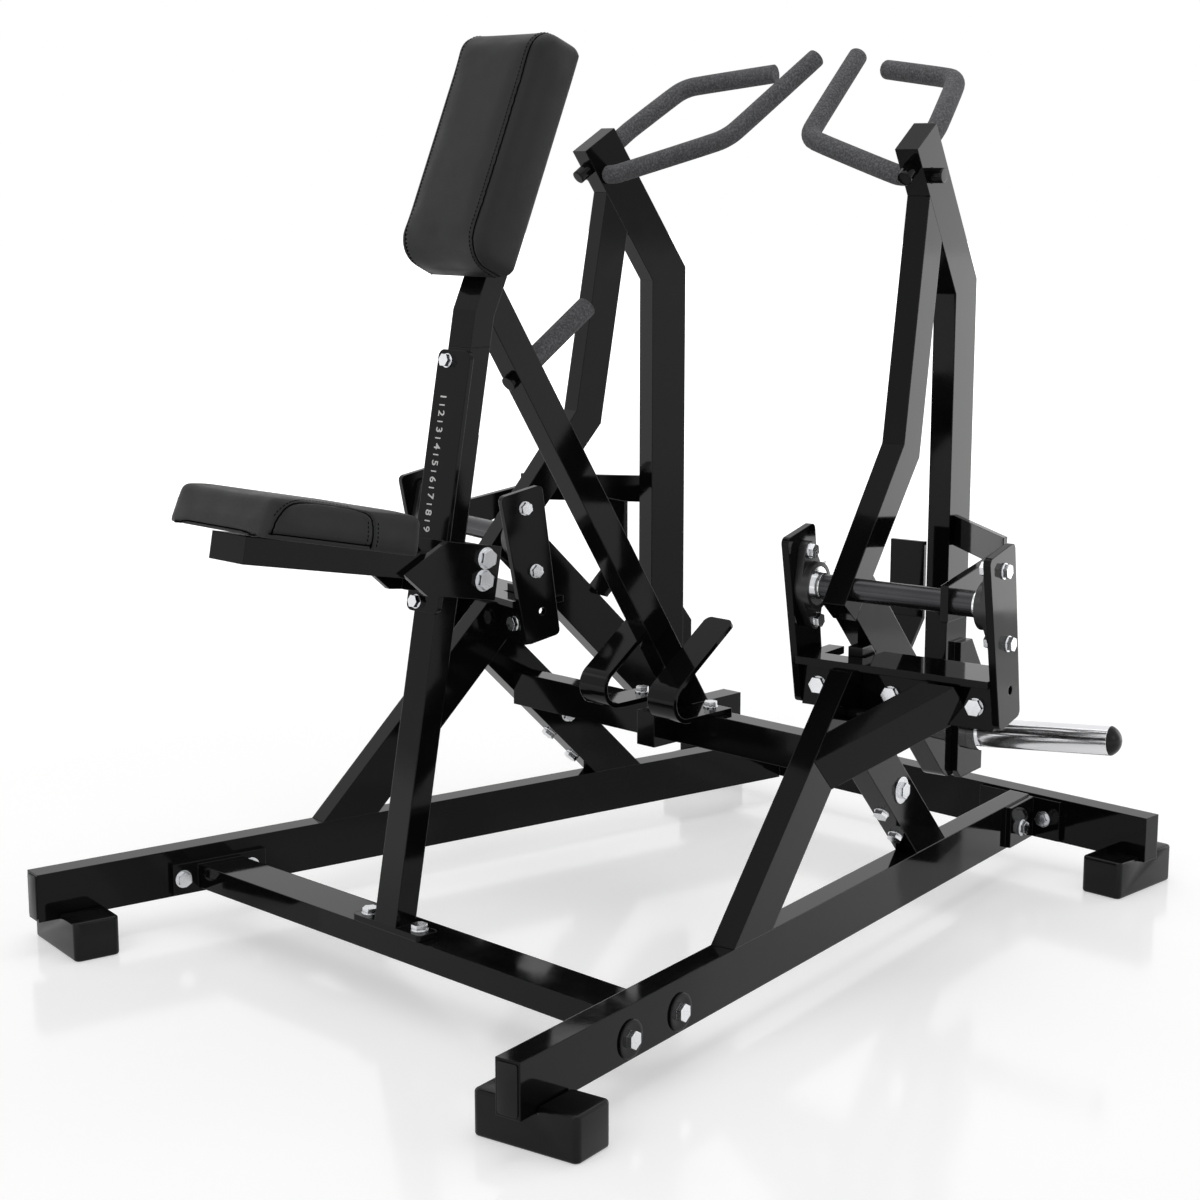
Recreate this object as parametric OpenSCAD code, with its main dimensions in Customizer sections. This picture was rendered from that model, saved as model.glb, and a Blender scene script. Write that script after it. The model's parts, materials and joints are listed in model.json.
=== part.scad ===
// Plate-loaded seated row with two levers that swing independently.
// Millimetres, +Z up. X = 0 is the plane of symmetry and Z = 0 the floor; the user sits at
// the front and faces +Y. The modules count Y from the front ends of the side rails, and
// the node lines then bring the middle of the length over the origin.

/* [Base frame] */
// Half width over the rails at their front ends
rail_front_x = 585; // [560:1:610]
// Angle by which each rail closes in toward the rear
toe = 9.9; // [8:0.1:11]
// Width of the main tubes
tube_w = 40; // [38:1:42]
// Depth of the main tubes
tube_d = 80; // [76:1:84]
// Height of the rails above the floor
ground_gap = 57; // [50:1:64]
// Front face of the rear beam
beam_y = 1544; // [1510:1:1580]
// Half length of the rear beam
beam_half = 557; // [530:1:590]
// Front face of the front cross tube
cross_y = 267; // [255:1:280]
// Height of the front cross tube above the underside of the rails
cross_rise = 11; // [8:1:16]
// Thickness of welded end plates and flanges
end_plate_t = 10; // [8:1:12]
// Length of the end plates of the front cross tube
end_plate_l = 173; // [165:1:185]
// Reach of the rear flange beyond each side of the rail
flange_reach = 66; // [58:1:74]

/* [Rubber feet] */
// Length of a foot across its tube
foot_l = 172; // [160:1:184]
// Width of a foot along its tube
foot_w = 78; // [70:1:86]
// Depth of the channel that takes the tube
foot_channel = 9; // [6:1:12]
// Corner radius of a foot
foot_r = 10; // [6:1:14]
// Middle of the front feet behind the rail ends
foot_v = 73; // [60:1:90]
// Middle of the rear feet inside the beam ends
foot_inset = 48; // [30:1:60]

/* [Side struts] */
// Foot of the front strut along the rail
strut_v = 525; // [500:1:550]
// Rearward lean of the front strut
strut_lean = 44.3; // [42:0.1:46]
// Height of the shelf on top of the front strut
shelf_z = 490; // [480:1:500]
// Foot of the rear strut along the rail
rear_strut_v = 1110; // [1090:1:1130]
// Forward lean of the rear strut
rear_strut_lean = 45; // [43:0.1:47]
// Depth of the rear strut
rear_strut_d = 75; // [68:1:80]
// Start of the branch tube, measured up the front strut
branch_start = 327; // [310:1:340]
// Rise of the branch tube against the lever shaft
branch_rise = 43.5; // [41:0.1:46]

/* [Lever brackets] */
// Lever shaft behind the rail front end, along the rail
pivot_v = 910; // [900:1:920]
// Height of the lever shaft
pivot_z = 613; // [600:1:625]
// Thickness of the bracket plates
plate_t = 12; // [10:1:14]
// Width of the bracket plates
plate_w = 88; // [82:1:98]
// Amount by which the plates narrow toward the bottom
plate_taper = 14; // [8:1:18]
// Length of a bracket plate above the shaft
plate_above = 90; // [84:1:100]
// Length of a bracket plate below the shaft
plate_below = 187; // [180:1:195]
// Forward lean of the bracket plates
plate_lean = 11; // [9:0.5:13]
// Corner radius of the bracket plates
plate_r = 10; // [6:1:14]
// Inner bracket plate, face that carries the bearing
inner_u = -108; // [-114:1:-102]
// Outer bracket plate, face that carries the bearing
outer_u = 225; // [218:1:232]
// Thickness of the shelf and its web
shelf_t = 12; // [8:1:14]
// Front edge of the shelf
shelf_v = 880; // [872:1:888]
// Depth of the shelf
shelf_d = 110; // [104:1:116]
// Front face of the web below the shelf
web_v = 905; // [898:1:912]
// Drop of the band pegs below the shelf
peg_drop = 66; // [60:1:72]
// Height of the web below the shelf
web_h = 70; // [60:1:80]

/* [Bearings and shaft] */
// Diameter of the lever shaft
shaft_d = 30; // [25:1:32]
// Outer diameter of the bearing insert
insert_d = 62; // [58:1:66]
// Running clearance on the radius
fit = 0.05; // [0.02:0.01:0.1]
// Bolt spacing of the oval flange bearing
flange_bolts = 117; // [112:1:122]
// Outer radius of the bearing hub
hub_r = 38; // [36:1:41]
// Radius round the flange bolts
ear_r = 15; // [13:1:17]
// Thickness of the bearing flange
ear_t = 13; // [11:1:15]
// Width of the bearing housing
housing_w = 24; // [22:1:28]
// Diameter of the sleeve on the shaft
sleeve_d = 37; // [35:1:42]

/* [Levers] */
// Depth of the head and rear tube
rear_tube_d = 76; // [72:1:80]
// Front face of the rear tube, along the rail
rear_tube_v = 1229; // [1220:1:1240]
// Height of the bend between rear tube and head
head_bend_z = 1059; // [1045:1:1075]
// Forward lean of the head
head_lean = 33.1; // [31:0.1:35]
// Length of the head on its front side
head_l = 278; // [270:1:290]
// Inner face of the lever tubes
lever_u = -55; // [-58:1:-50]
// Depth of the front tube above its bend
front_tube_d = 58; // [54:1:62]
// Depth of the front tube at its lower end
front_tube_low_d = 48; // [45:1:52]
// Bend of the front tube above the shaft
front_bend_rise = 215; // [205:1:225]
// Rearward lean of the front tube above the bend
front_lean = 9.75; // [8:0.05:11]
// Rearward lean of the front tube below the bend
front_low_lean = 39; // [37:0.5:41]
// Length of the front tube past the shaft
front_tail = 33; // [30:1:40]
// Depth of the lower arm
arm_d = 80; // [76:1:82]
// Height of the arm's middle line above the shaft axis
arm_rise = 11; // [10:1:16]
// Middle of the arm's round end behind the shaft
arm_reach = 348; // [340:1:355]
// Width of the bent tab on the arm
tab_w = 62; // [54:1:68]
// Reach of the tab past the inner face of the lever
tab_out = 26; // [22:1:30]
// Thickness of the bent tab
tab_t = 8; // [6:1:10]
// Tab behind the shaft
tab_v = 196; // [190:1:205]
// Height of the tab's upright part
tab_h = 128; // [115:1:140]
// Inner face of the brace lug on the shaft
lug_u = 142; // [136:1:150]
// Thickness of the brace lug
lug_t = 13; // [11:1:15]
// Height of the brace bar
brace_h = 50; // [44:1:56]
// Thickness of the brace bar
brace_t = 10; // [8:1:12]

/* [Weight horns] */
// Diameter of the chromed sleeve that takes the plates
horn_d = 50; // [49:0.5:50]
// Length of the sleeve beyond its collar
horn_l = 237; // [225:1:250]
// Diameter of the collar
collar_d = 62; // [58:1:70]
// Width of the collar
collar_w = 16; // [12:1:20]
// Upward tilt of the horn
horn_tilt = 4.5; // [3:0.5:6]
// Horn behind the shaft
horn_v = 410; // [400:1:415]
// Horn below the shaft
horn_drop = 310; // [300:1:320]
// Thickness of the carrier plate
carrier_t = 12; // [10:1:14]
// Width of the carrier plate
carrier_w = 95; // [90:1:105]

/* [Handles] */
// Diameter of the handle bars
bar_d = 25; // [22:1:27]
// Diameter of the grips
grip_d = 34; // [31:1:36]
// Bend radius of the handle bars
bar_bend = 45; // [40:1:50]
// Slope of the plane in which the handles are bent
handle_slope = 36.5; // [35:0.5:38]
// Height of the lateral handle above its slope line
lateral_n = 334; // [331:1:336]
// Height of the long handle above its slope line
long_n = 362; // [360:1:366]
// Droop of the long handle's end
long_droop = 9; // [6:0.5:12]

/* [Seat post] */
// Width of the seat post
post_w = 50; // [46:1:54]
// Depth of the seat post
post_d = 40; // [38:1:44]
// Rearward lean of the seat post
post_lean = 10.8; // [10:0.1:11.6]
// Front face of the post at its foot
post_y = 267; // [264:1:275]
// Thickness of the post's foot plate
post_foot_t = 10; // [8:1:12]
// Height of the post's upper end
post_top_z = 995; // [980:1:1010]
// Pitch of the seat adjustment
pitch = 25.4; // [24:0.2:26]
// Number of seat positions
positions = 9; // [7:1:10]
// Start of the guide plate, measured up the post
guide_start = 486; // [478:1:492]
// Length of the guide plate
guide_l = 402; // [396:1:412]
// Width of the guide plate beyond each side of the post
guide_side = 11; // [8:1:13]
// Thickness of the guide plate
guide_t = 8; // [6:1:10]
// Thickness of the toothed strip on the back of the post
rack_t = 10; // [8:1:12]
// Width of the strip on the back of the post
rack_w = 30; // [26:1:34]

/* [Chest support] */
// Rearward lean of the chest pad
chest_lean = 25; // [23:0.5:27]
// Lower front edge of the chest pad, from the front
chest_y = 383; // [378:1:388]
// Lower front edge of the chest pad, height
chest_z = 1137; // [1125:1:1145]
// Width of the chest pad
chest_w = 184; // [170:1:200]
// Length of the chest pad
chest_l = 360; // [345:1:375]
// Thickness of the chest pad
chest_t = 80; // [74:1:86]
// Radius of the pad's rounded ends, seen from the side
chest_end_r = 24; // [18:1:30]
// Thickness of the boards behind the pads
board_t = 12; // [10:1:14]
// Inset of the boards from the pads' edges
board_inset = 20; // [12:1:26]
// Length of the chest tube behind the board
chest_tube_l = 300; // [280:1:320]

/* [Centre strut] */
// Depth of the centre strut
centre_d = 50; // [46:1:54]
// Foot of the centre strut, front edge
centre_foot_y = 926; // [918:1:934]
// Forward lean of the centre strut
centre_lean = 33.3; // [32.5:0.1:34]
// Height of the chest grip above the foot, along the strut
grip_up = 696; // [680:1:705]
// Length of the chest grip
chest_grip_l = 145; // [130:1:160]

/* [Foot rests] */
// Underside of the cross beams
beam_z = 296; // [288:1:304]
// Height of the cross beams
beam_h = 60; // [55:1:66]
// Front face of the cross beams
beam_front_y = 905; // [900:1:912]
// Front end of the centre box
box_y = 849; // [840:1:860]
// Length of the centre box
box_l = 222; // [210:1:235]
// Thickness of a foot rest
rest_t = 8; // [6:1:10]
// Width of a foot rest
rest_w = 60; // [54:1:70]
// Inner edge of a foot rest from the middle
rest_x = 50; // [44:1:56]
// Outer radius of the curl
curl_r = 36; // [33:1:40]
// Middle of the curl from the front
curl_y = 836; // [828:1:842]
// Rise of the sloping leaf
rest_rise = 35; // [32:1:38]
// Length of the sloping leaf
rest_l = 162; // [150:1:175]

/* [Seat] */
// Downward tilt of the seat toward the rear
seat_tilt = 11; // [10:0.5:12]
// Front end of the seat tube
seat_y = -3; // [-12:1:4]
// Height of the seat tube's upper front edge
seat_z = 759; // [752:1:764]
// Width of the seat tube
seat_tube_w = 80; // [76:1:84]
// Width of the seat pad
seat_w = 232; // [220:1:245]
// Length of the seat pad
seat_l = 272; // [262:1:282]
// Thickness of the seat pad
seat_t = 55; // [50:1:62]
// Start of the carriage, measured up the post
carriage_start = 516; // [512:1:522]
// Height of the carriage
carriage_h = 84; // [78:1:90]
// Wall of the carriage
carriage_wall = 10; // [8:1:12]
// Reach of the carriage side plates behind the post
carriage_tail = 55; // [50:1:62]

/* [Hidden] */
$fn = 48;
gap = 0.3;
corner_steps = 8;
rail_top = ground_gap + tube_d;
cross_z = ground_gap + cross_rise;
flange_y = beam_y - end_plate_t;
far = 3000;

// The row stands with the middle of its length over the origin
mid_y = (seat_y - tube_w * sin(seat_tilt) + beam_y + tube_w / 2 + foot_l / 2) / 2;

function rail_x(u, y) = rail_front_x + u / cos(toe) - y * tan(toe);
function edge(v, z, lean) = [v - z * tan(lean), tan(lean)];
function shift(line, d) = [line[0] + d * sqrt(1 + line[1] * line[1]), line[1]];
function at(line, z) = [line[0] + line[1] * z, z];
function meet(a, b) = at(a, (b[0] - a[0]) / (a[1] - b[1]));
function heading(a, b) = atan2(b[1] - a[1], b[0] - a[0]);
function turn(a, b, c) = (heading(b, c) - heading(a, b) + 540) % 360 - 180;

// Edges of the side struts, in the plane of the rail
strut_front = edge(strut_v, rail_top, strut_lean);
strut_rear = shift(strut_front, tube_d);
rear_strut_front = edge(rear_strut_v, rail_top, -rear_strut_lean);
rear_strut_rear = shift(rear_strut_front, rear_strut_d);

// Edges of the lever tubes, in the plane of the rail
lever_out = lever_u + tube_w;
rear_front = edge(rear_tube_v, 0, 0);
rear_rear = shift(rear_front, rear_tube_d);
head_front = edge(rear_tube_v, head_bend_z, -head_lean);
head_rear = shift(head_front, rear_tube_d);
low_front = shift(edge(pivot_v, pivot_z, front_low_lean), -front_tube_low_d / 2 + 3);
front_bend = at(low_front, pivot_z + front_bend_rise);
up_front = edge(front_bend[0], front_bend[1], front_lean);
up_rear = shift(up_front, front_tube_d);
low_end = [low_front[0] + low_front[1] * pivot_z, pivot_z]
    - (front_tail - 10) * [sin(front_low_lean), cos(front_low_lean)];
low_rear_end = low_end + front_tube_low_d * [cos(front_low_lean), -sin(front_low_lean)];
bend_rear = at(up_rear, front_bend[1] - front_tube_d * tan((front_low_lean + front_lean) / 2));
low_rear_lean = atan2(bend_rear[0] - low_rear_end[0], bend_rear[1] - low_rear_end[1]);
low_rear = edge(low_rear_end[0], low_rear_end[1], low_rear_lean);
arm_mid = edge(pivot_v, pivot_z + arm_rise, -45);
arm_top = shift(arm_mid, arm_d / 2);
arm_under = shift(arm_mid, -arm_d / 2);
arm_end = [pivot_v + arm_reach, pivot_z + arm_rise - arm_reach];
tab_root = at(shift(arm_top, -1), arm_top[0] - pivot_v - tab_v);

// Edges of the post and the chest tube, in the middle plane
post_foot_z = cross_z + tube_w + post_foot_t;
post_front = edge(post_y, post_foot_z, post_lean);
post_rear = shift(post_front, post_d);
chest_back = chest_t + gap + board_t;
chest_front = shift(edge(chest_y, chest_z, chest_lean), chest_back);
chest_rear = shift(chest_front, post_d);
box_top = beam_z + beam_h;
centre_front = edge(centre_foot_y, box_top, -centre_lean);
centre_rear = shift(centre_front, centre_d);

// Handle paths: outward across the lever and rearward along the slope
lateral_path = [[7, 1652], [-75, 1652], [-292, 1756], [-301, 1988]];
long_path = [[-36, 1604], [-36, 1745], [-57, 1880], [-224, 1951]];

module side_frame() {
    translate([rail_front_x, 0, 0]) rotate([0, 0, toe]) children();
}

module right() {
    translate([0, -mid_y, 0]) children();
}

module left() {
    translate([0, -mid_y, 0]) mirror([1, 0, 0]) children();
}

// A plate or tube with its outline in the plane of the rail, t thick from u outward
module profile(u, t, outline) {
    translate([u, 0, 0]) rotate([90, 0, 90]) linear_extrude(t) polygon(outline);
}

// Heading of the outward normal of the edge from a to b
function normal_heading(a, b) = atan2(a[0] - b[0], b[1] - a[1]);

// A convex outline with round corners, given by the middles of its corner circles
module rounded(middles, r) {
    count = len(middles);
    polygon([
        for (i = [0 : count - 1]) let (
            a = normal_heading(middles[(i + count - 1) % count], middles[i]),
            b = normal_heading(middles[i], middles[(i + 1) % count]),
            sweep = (b - a + 720) % 360
        ) for (k = [0 : corner_steps]) let (h = a + sweep * k / corner_steps)
            middles[i] + r * [cos(h), sin(h)]
    ]);
}

module rounded_rect(w, h, r) {
    square([w - 2 * r, h], center = true);
    square([w, h - 2 * r], center = true);
    for (x = [-1, 1], y = [-1, 1]) {
        translate([x * (w / 2 - r), y * (h / 2 - r)]) circle(r);
    }
}

module round_bar(u0, u1, d) {
    translate([u0, pivot_v, pivot_z]) rotate([0, 90, 0]) cylinder(h = u1 - u0, d = d);
}

// Hexagon head on a washer, standing on z = 0
module hex_bolt(across = 22, washer = 30) {
    cylinder(h = 2.5, d = washer);
    translate([0, 0, 2.5]) cylinder(h = 8, d = across / cos(30), $fn = 6);
}

// The straight bore that a bar's first stretch needs
module bar_bore(n, path) {
    in_handle_plane(n) translate([path[0][0], path[0][1], 0])
        rotate([0, 0, heading(path[0], path[1])]) rotate([0, 90, 0])
        cylinder(h = norm(path[1] - path[0]), d = bar_d + 2 * fit);
}

// Stations [x, y, heading] along a flat path with its corners rounded to bar_bend
function stations(path) = let (last = len(path) - 1) [
    [path[0][0], path[0][1], heading(path[0], path[1])],
    for (i = [1 : last - 1]) let (
        a = heading(path[i - 1], path[i]),
        t = turn(path[i - 1], path[i], path[i + 1]),
        s = t > 0 ? 1 : -1,
        trim = bar_bend * tan(abs(t) / 2),
        start = path[i] - trim * [cos(a), sin(a)],
        middle = start + s * bar_bend * [-sin(a), cos(a)],
        steps = max(1, round(abs(t) / 15))
    ) for (k = [0 : steps]) let (h = a + t * k / steps)
        [middle[0] + s * bar_bend * sin(h), middle[1] - s * bar_bend * cos(h), h],
    [path[last][0], path[last][1], heading(path[last - 1], path[last])]
];

// A round bar bent along a flat path, as one swept skin
module bent_bar(path, d) {
    sides = 20;
    rings = stations(path);
    last = len(rings) - 1;
    points = [for (p = rings, k = [0 : sides - 1]) let (c = d / 2 * cos(k * 360 / sides))
        [p[0] - c * sin(p[2]), p[1] + c * cos(p[2]), d / 2 * sin(k * 360 / sides)]];
    polyhedron(points, [
        [for (k = [0 : sides - 1]) k],
        for (i = [0 : last - 1], k = [0 : sides - 1]) let (n = (k + 1) % sides)
            [i * sides + k, (i + 1) * sides + k, (i + 1) * sides + n, i * sides + n],
        [for (k = [0 : sides - 1]) last * sides + sides - 1 - k]
    ]);
}

module in_handle_plane(n) {
    rotate([handle_slope, 0, 0]) translate([0, 0, n]) children();
}

// ---- Base frame ----

module rail() {
    reach = flange_reach / cos(toe);
    color("#1a1a1c") union() {
        intersection() {
            side_frame() union() {
                translate([-tube_w, 0, ground_gap]) cube([tube_w, far, tube_d]);
                translate([0, (flange_y - 95) / cos(toe), ground_gap + 3])
                    cube([end_plate_t, far, tube_d - 6]);
            }
            translate([0, -tube_w, 0]) cube([far, flange_y + tube_w, far]);
        }
        translate([rail_x(-tube_w, flange_y) - reach, flange_y, ground_gap + 3])
            cube([tube_w / cos(toe) + 2 * reach, end_plate_t, tube_d - 6]);
    }
}

module front_cross_tube() {
    end_u = -tube_w - end_plate_t;
    x_front = rail_x(end_u + 1, cross_y);
    x_rear = rail_x(end_u + 1, cross_y + tube_d);
    plate_v = (cross_y + tube_d / 2) / cos(toe) - end_u * tan(toe) - end_plate_l / 2;
    color("#1a1a1c") union() {
        translate([0, 0, cross_z]) linear_extrude(tube_w) polygon([
            [-x_front, cross_y], [x_front, cross_y],
            [x_rear, cross_y + tube_d], [-x_rear, cross_y + tube_d]
        ]);
        for (s = [0, 1]) mirror([s, 0, 0]) side_frame()
            translate([end_u, plate_v, cross_z - 6]) cube([end_plate_t, end_plate_l, tube_w + 12]);
    }
}

module rear_beam() {
    color("#1a1a1c") translate([-beam_half, beam_y, ground_gap])
        cube([2 * beam_half, tube_w, tube_d]);
}

module foot() {
    difference() {
        linear_extrude(ground_gap + foot_channel) rounded_rect(foot_l, foot_w, foot_r);
        translate([-tube_w / 2 - gap, -foot_w, ground_gap])
            cube([tube_w + 2 * gap, 2 * foot_w, 2 * foot_channel]);
    }
}

module rubber_feet() {
    color("#0e0e0f") for (s = [0, 1]) mirror([s, 0, 0]) {
        side_frame() translate([-tube_w / 2, foot_v, 0]) foot();
        translate([beam_half - foot_inset, beam_y + tube_w / 2, 0]) rotate([0, 0, 90]) foot();
    }
}

module front_strut() {
    color("#1a1a1c") side_frame() profile(-tube_w, tube_w, [
        at(strut_front, rail_top), at(strut_front, shelf_z),
        at(strut_rear, shelf_z), at(strut_rear, rail_top)
    ]);
}

module rear_strut() {
    color("#1a1a1c") side_frame() profile(-tube_w, tube_w, [
        at(rear_strut_front, rail_top), meet(rear_strut_front, strut_rear),
        meet(rear_strut_rear, strut_rear), at(rear_strut_rear, rail_top)
    ]);
}

module branch_tube() {
    strut_l = (shelf_z - rail_top) / cos(strut_lean);
    rise = tan(branch_rise);
    start = branch_start + tube_w / cos(branch_rise);
    color("#1a1a1c") side_frame() translate([0, strut_v, rail_top]) rotate([-strut_lean, 0, 0])
        translate([0, tube_d, 0]) rotate([90, 0, 0]) linear_extrude(tube_d) polygon([
            [0, branch_start], [(strut_l - branch_start) / rise, strut_l],
            [(strut_l - start) / rise, strut_l], [0, start]
        ]);
}

// ---- Lever brackets ----

module at_plate(u) {
    translate([u, pivot_v, pivot_z]) rotate([plate_lean, 0, 0]) children();
}

module bracket_plate(u) {
    color("#1a1a1c") side_frame() at_plate(u) rotate([90, 0, 90]) linear_extrude(plate_t)
        difference() {
            rounded([
                [-plate_w / 2 + plate_r, plate_above - plate_r],
                [-plate_w / 2 + plate_r, -plate_below + plate_r],
                [plate_w / 2 - plate_taper - plate_r, -plate_below + plate_r],
                [plate_w / 2 - plate_r, plate_above - plate_r]
            ], plate_r);
            for (z = [-1, 1]) translate([0, z * flange_bolts / 2]) circle(d = 13);
            translate([0, -plate_below + 52]) circle(d = 14);
        }
}

module shelf() {
    notch_u = lever_u - 25;
    notch_v = shelf_v + 45;
    color("#1a1a1c") difference() {
        side_frame() union() {
            difference() {
                translate([inner_u, shelf_v, shelf_z])
                    cube([outer_u - inner_u, shelf_d, shelf_t]);
                translate([notch_u, notch_v, shelf_z - 1])
                    cube([lever_out + 7 - notch_u, shelf_d, shelf_t + 2]);
            }
            translate([inner_u, web_v, shelf_z - web_h])
                cube([outer_u - inner_u, shelf_t, web_h]);
        }
        front_strut();
        rear_strut();
        branch_tube();
    }
}

// Outline of an oval two-bolt flange: a hub circle joined to two ears by tangents
module oval_flange() {
    d = flange_bolts / 2;
    a = acos((hub_r - ear_r) / d);
    circle(hub_r);
    for (s = [-1, 1]) translate([0, s * d]) circle(ear_r);
    polygon([for (s = [1, -1], k = [1, -1], r = [0, 1])
        let (m = s * k, far_end = (r == 0) == (k == 1))
        far_end ? [s * ear_r * sin(a) * 1, m * (d + ear_r * cos(a))]
                : [s * hub_r * sin(a), m * hub_r * cos(a)]]);
}

module bearing() {
    difference() {
        union() {
            rotate([90, 0, 90]) linear_extrude(ear_t) oval_flange();
            rotate([0, 90, 0]) cylinder(h = housing_w, r = hub_r);
        }
        translate([-1, 0, 0]) rotate([0, 90, 0]) cylinder(h = housing_w + 2, d = insert_d);
        for (s = [-1, 1]) translate([-1, 0, s * flange_bolts / 2]) rotate([0, 90, 0])
            cylinder(h = ear_t + 2, d = 13);
    }
}

module bearings() {
    color("#202123") side_frame() {
        at_plate(inner_u) bearing();
        at_plate(outer_u) rotate([0, 0, 180]) bearing();
    }
}

// ---- Centre of the frame ----

module cross_beam() {
    y1 = beam_front_y + tube_w;
    color("#1a1a1c") translate([0, 0, beam_z]) linear_extrude(beam_h) polygon([
        [tube_w / 2, beam_front_y], [rail_x(-tube_w, beam_front_y), beam_front_y],
        [rail_x(-tube_w, y1), y1], [tube_w / 2, y1]
    ]);
}

module centre_box() {
    color("#1a1a1c") translate([-tube_w / 2, box_y, beam_z]) cube([tube_w, box_l, beam_h]);
}

// A leaf on the cross beam, a curl at the front and a sloping leaf that takes the foot
module foot_rest() {
    beam_back = beam_front_y + tube_w - curl_y;
    inner_r = curl_r - rest_t;
    slope = [cos(rest_rise), sin(rest_rise)];
    square_on = [-slope[1], slope[0]];
    steps = 24;
    sweep = 180 - rest_rise;
    color("#1a1a1c") translate([rest_x, curl_y, box_top + curl_r]) difference() {
        profile(0, rest_w, [
            [beam_back, -curl_r],
            for (k = [0 : steps]) curl_r * [cos(270 - sweep * k / steps),
                sin(270 - sweep * k / steps)],
            curl_r * square_on + rest_l * slope,
            inner_r * square_on + rest_l * slope,
            for (k = [steps : -1 : 0]) inner_r * [cos(270 - sweep * k / steps),
                sin(270 - sweep * k / steps)],
            [beam_back, -inner_r]
        ]);
        rotate([rest_rise, 0, 0]) translate([0, 0, inner_r - 1]) linear_extrude(rest_t + 2)
            for (x = [0, 1]) translate([x * rest_w, rest_l]) mirror([x, 0]) rounded_corner(12);
    }
}

// The waste outside a rounded outer corner whose tip is at the origin. Its first and last
// chords run on past the sides
module rounded_corner(r) {
    polygon([
        [-1, 1], [-1, -r - 3],
        for (k = [1 : corner_steps - 1]) let (h = 180 - 90 * k / corner_steps)
            [r + r * cos(h), -r + r * sin(h)],
        [r + 3, 1]
    ]);
}

module post_frame() {
    translate([0, post_y, post_foot_z]) rotate([-post_lean, 0, 0]) children();
}

module seat_post() {
    plate_l = tube_d - 40;
    strip_l = (positions + 2) * pitch;
    color("#1a1a1c") union() {
        profile(-post_w / 2, post_w, [
            at(post_front, post_foot_z), at(post_front, post_top_z),
            at(post_rear, post_top_z), at(post_rear, post_foot_z)
        ]);
        translate([0, post_y + post_d / 2, cross_z + tube_w]) linear_extrude(post_foot_t)
            rounded_rect(3.2 * post_w, plate_l, 8);
        post_frame() difference() {
            translate([-rack_w / 2, post_d, guide_start]) cube([rack_w, rack_t, strip_l]);
            for (i = [0 : positions - 1])
                translate([0, post_d - 1, guide_start + (i + 1.5) * pitch])
                    rotate([-90, 0, 0]) cylinder(h = rack_t + 2, d = 11);
        }
    }
}

module guide_plate() {
    color("#1a1a1c") post_frame() translate([0, 0, guide_start + guide_l / 2])
        rotate([90, 0, 0]) linear_extrude(guide_t)
        rounded_rect(post_w + 2 * guide_side, guide_l, 12);
}

function chest_point(y, z) = [
    chest_y + y * cos(chest_lean) + z * sin(chest_lean),
    chest_z - y * sin(chest_lean) + z * cos(chest_lean)
];

module chest_tube() {
    color("#1a1a1c") profile(-post_w / 2, post_w, [
        at(post_front, post_top_z), meet(post_front, chest_front),
        chest_point(chest_back, chest_tube_l), chest_point(chest_back + post_d, chest_tube_l),
        meet(post_rear, chest_rear), at(post_rear, post_top_z)
    ]);
}

module chest_frame() {
    translate([0, chest_y, chest_z]) rotate([-chest_lean, 0, 0]) children();
}

module chest_board() {
    w = chest_w - 2 * board_inset;
    l = chest_l - 2 * board_inset;
    color("#121213") chest_frame() translate([0, chest_back, chest_l / 2]) rotate([90, 0, 0])
        linear_extrude(board_t) rounded_rect(w, l, 20);
}

// The front panel wraps round the pad's upper and lower ends
module chest_pad() {
    r = chest_end_r;
    color("#26272a") chest_frame() translate([-chest_w / 2, 0, 0]) rotate([90, 0, 90])
        linear_extrude(chest_w) rounded([
            [r, r], [chest_t - r, r], [chest_t - r, chest_l - r], [r, chest_l - r]
        ], r);
}

module in_grip_line() {
    translate([0, centre_foot_y, box_top]) rotate([centre_lean, 0, 0])
        translate([0, -10, grip_up]) rotate([-90, 0, 0]) children();
}

module centre_strut() {
    top = 1300;
    color("#1a1a1c") difference() {
        profile(-tube_w / 2, tube_w, [
            at(centre_front, box_top), at(centre_front, top),
            at(centre_rear, top), at(centre_rear, box_top)
        ]);
        profile(-tube_w, 2 * tube_w, [
            at(post_rear, 0), meet(post_rear, chest_rear), at(chest_rear, far),
            [-far, far], [-far, 0]
        ]);
        in_grip_line() cylinder(h = centre_d + 20, d = bar_d + 2 * fit);
    }
}

module chest_bar() {
    color("#111112") in_grip_line() cylinder(h = 10 + centre_d + chest_grip_l - 6, d = bar_d);
}

module chest_grip() {
    color("#2b2c2e") in_grip_line() difference() {
        translate([0, 0, centre_d + 10 + gap]) cylinder(h = chest_grip_l - gap, d = grip_d);
        cylinder(h = 10 + centre_d + chest_grip_l - 6, d = bar_d + 2 * fit);
    }
}

module band_pegs() {
    peg_z = shelf_z - peg_drop;
    peg_v = at(strut_front, peg_z)[0] + 60;
    color("#1a1a1c") for (s = [0, 1]) mirror([s, 0, 0]) side_frame()
        translate([0, peg_v, peg_z]) rotate([0, 90, 0]) cylinder(h = 50, d = 22);
}

// Rubber wedge on the strut's upper end, under the arm at rest
module lever_stops() {
    face = shift(arm_under, -gap);
    low = shelf_z + 3;
    high = shelf_z + 27;
    color("#0e0e0f") for (s = [0, 1]) mirror([s, 0, 0]) side_frame()
        profile(-tube_w, lever_out + tube_w, [
            [shelf_v + 50, shelf_z], [at(face, low)[0], shelf_z], at(face, low),
            at(face, high), [shelf_v + 50, high]
        ]);
}

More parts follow.
